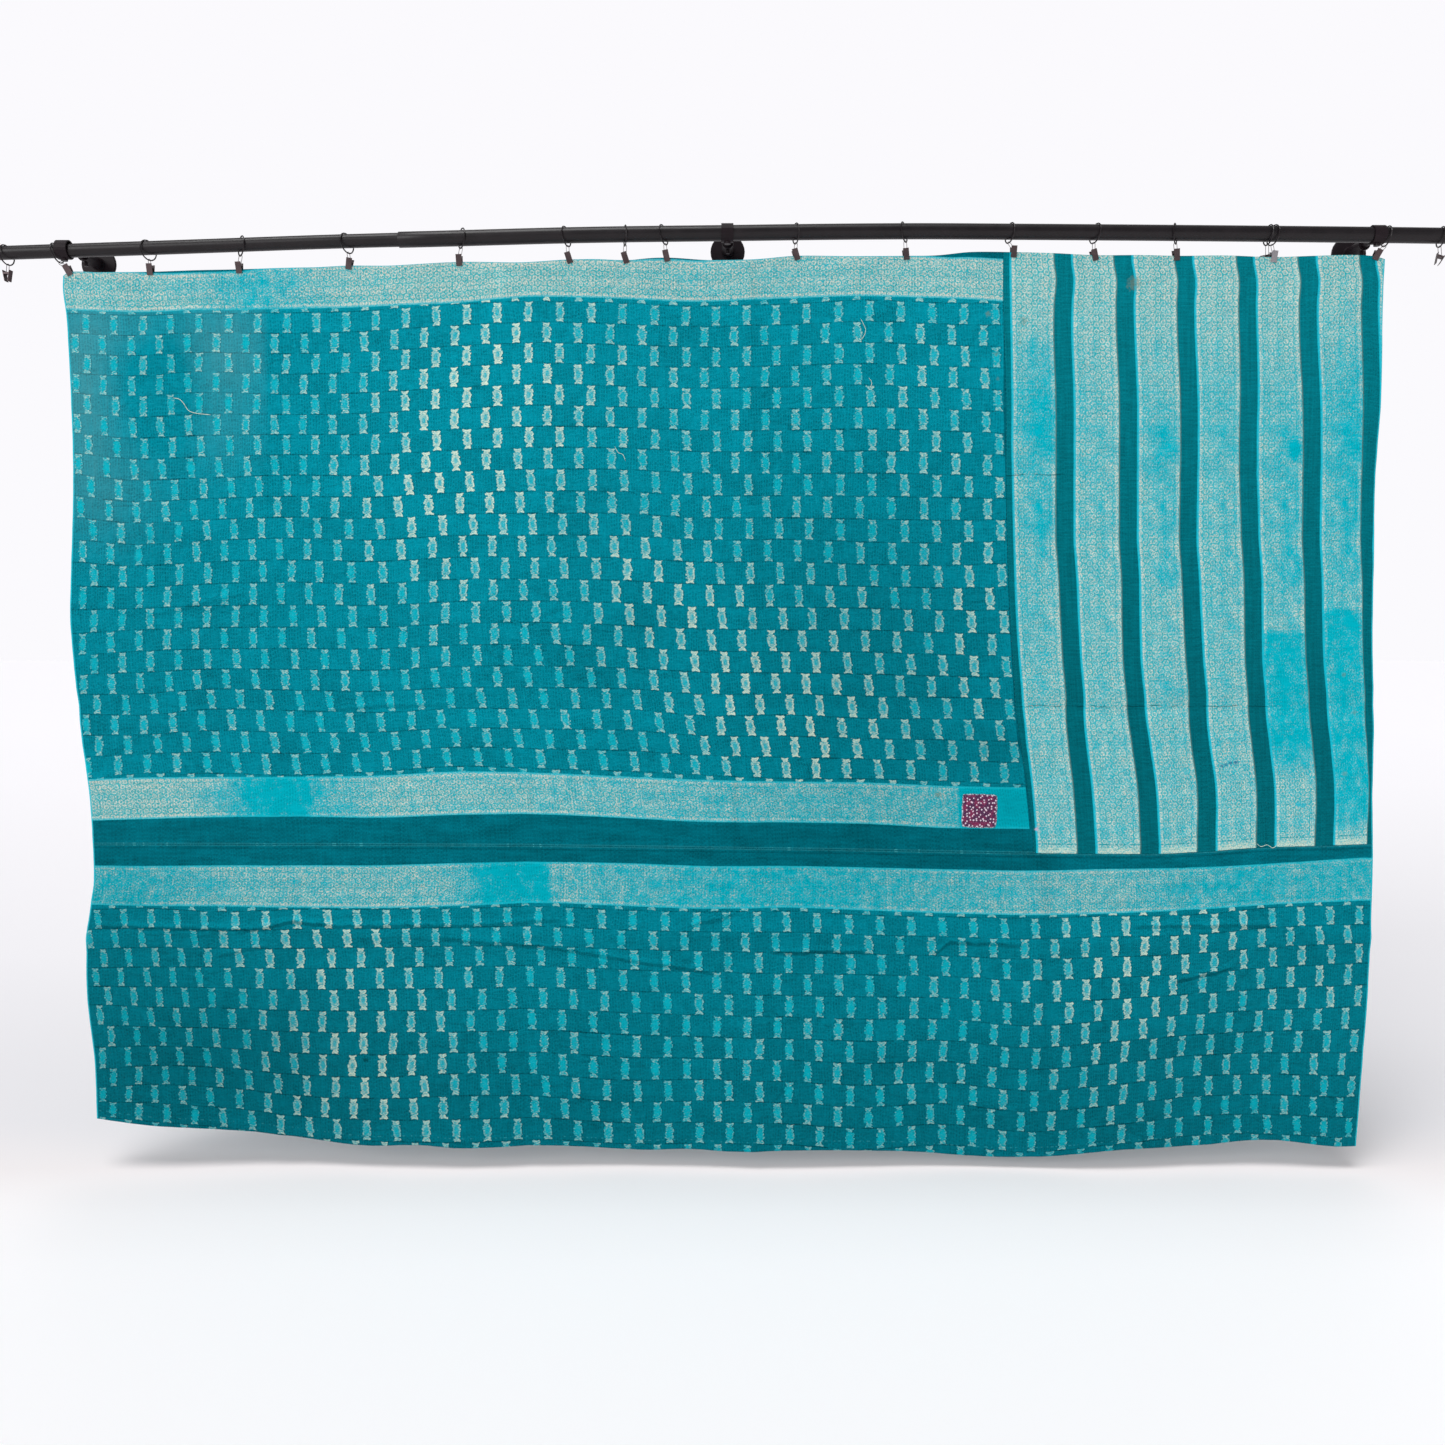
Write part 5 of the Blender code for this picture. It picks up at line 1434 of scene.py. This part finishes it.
def metal_finish(name, dark, light, roughness, metallic, scratch, gloss=0.5):
    """A coated or browned metal, cloudy, with fine grain and, as strong as scratch says, small scuffs."""
    metal = Finish(name, roughness=roughness, metallic=metallic, specular=gloss)
    x, y, z = metal.parts(metal.add("ShaderNodeTexCoord", output=3))
    cloud = metal.noise(x * 38, z * 38, y * 38, 3.0)
    grain = metal.noise(x * 900, z * 900, y * 900, 2.0)
    scuffs = metal.noise(x * 60, z * 700, y * 700)
    worn = edge(scuffs, 0.66, 0.74) * scratch
    metal.feed("Base Color", metal.mixed(dark, light, (cloud - 0.35) * 0.8 + worn))
    metal.feed("Roughness", roughness + (cloud - 0.5) * 0.16 + (grain - 0.5) * 0.10)
    metal.bump(grain * 0.05, strength=0.5)
    return metal.material


rod_black = metal_finish("satin_black", dyed(14, 9, 13), dyed(32, 24, 29), 0.38, 0.0, 0.15, 0.30)
bracket_black = metal_finish("bracket_black", dyed(26, 19, 23), dyed(46, 37, 42), 0.42, 0.0, 0.20, 0.12)
ring_black = metal_finish("ring_black", dyed(26, 21, 24), dyed(46, 40, 44), 0.34, 0.0, 0.2, 0.25)
clip_brown = metal_finish("browned_clip", dyed(66, 54, 56), dyed(112, 96, 96), 0.40, 0.6, 0.3)
clip_bright = metal_finish("bright_clip", dyed(150, 148, 152), dyed(206, 206, 212), 0.30, 0.9, 0.3)

METALS = {"rod": rod_black, "bracket": bracket_black, "ring": ring_black, "clip": clip_brown}
metal_nodes = [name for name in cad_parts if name.split("_")[0] in METALS]
for name in metal_nodes:
    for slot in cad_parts[name].material_slots:
        slot.material = clip_bright if name == "clip_16" else METALS[name.split("_")[0]]
print("metal on", len(metal_nodes), "nodes")

# %% [markdown]
# ## A rounder rod
# The rod of the frame is a tube of sixteen flats, and a lamp's streak breaks up on flats. So both tubes are
# made again with many more sides. Each starts as one short open cylinder. The array modifier repeats it
# along the rod, solidify gives the wall, bevel breaks the edges of its mouth, and then every ring of points
# is set on the rod's bowed line.

# %% Rod tubes
ROD_LINE = (  # x, z: it bows over the middle bracket and drops to the left
    (-1260, -35), (-1107, -30), (-895, -23), (-662, -15), (-471, -10), (-238, -4), (0, -1), (160, 1),
    (319, 2), (502, 1), (768, -1), (1080, -4), (1240, -6),
)
ROD_TUBES = (  # node, x of its ends, outside diameter
    ("rod_outer_tube", -547.0, 1216.0, 25.4), ("rod_inner_tube", -1236.0, -287.0, 22.2),
)
TUBE_SIDES = 64
TUBE_STEP = 49.0
TUBE_WALL = 1.2
MOUTH_EDGE = 0.35
MERGE = 0.00002  # m


def applied(piece, kind, **settings):
    """Adds a modifier with its settings and applies it."""
    modifier = piece.modifiers.new(kind.lower(), kind)
    for setting, value in settings.items():
        setattr(modifier, setting, value)
    bpy.ops.object.modifier_apply(modifier=modifier.name)


def rod_tube(node, start, end, outside, finish):
    """One round tube of the rod on its bowed line, in place of the frame's."""
    count = round((end - start) / TUBE_STEP)
    step = (end - start) / count * MM
    bpy.ops.object.select_all(action="DESELECT")
    bpy.ops.mesh.primitive_cylinder_add(
        vertices=TUBE_SIDES, radius=outside / 2 * MM, depth=step, end_fill_type="NOTHING",
        rotation=(0, math.radians(90), 0), location=(start * MM + step / 2, HANGING_Y * MM, 0),
    )
    tube = bpy.context.object
    tube.name = node.replace("rod", "round")
    bpy.ops.object.transform_apply(location=True, rotation=True, scale=True)
    applied(
        tube, "ARRAY", count=count, use_relative_offset=False, use_constant_offset=True,
        constant_offset_displace=(step, 0, 0), use_merge_vertices=True, merge_threshold=MERGE,
    )
    applied(tube, "SOLIDIFY", thickness=TUBE_WALL * MM, offset=-1.0)
    corners = math.radians(40)
    applied(tube, "BEVEL", width=MOUTH_EDGE * MM, segments=2, limit_method="ANGLE", angle_limit=corners)
    for point in tube.data.vertices:
        point.co.z += float(along(ROD_LINE, point.co.x / MM)) * MM
    bpy.ops.object.shade_smooth_by_angle(angle=math.radians(35))
    tube.data.materials.clear()
    tube.data.materials.append(finish)
    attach(tube, "root")
    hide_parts(node)
    return tube


rod_pieces = [rod_tube(*row, rod_black) for row in ROD_TUBES]
print("tube faces", [len(tube.data.polygons) for tube in rod_pieces])
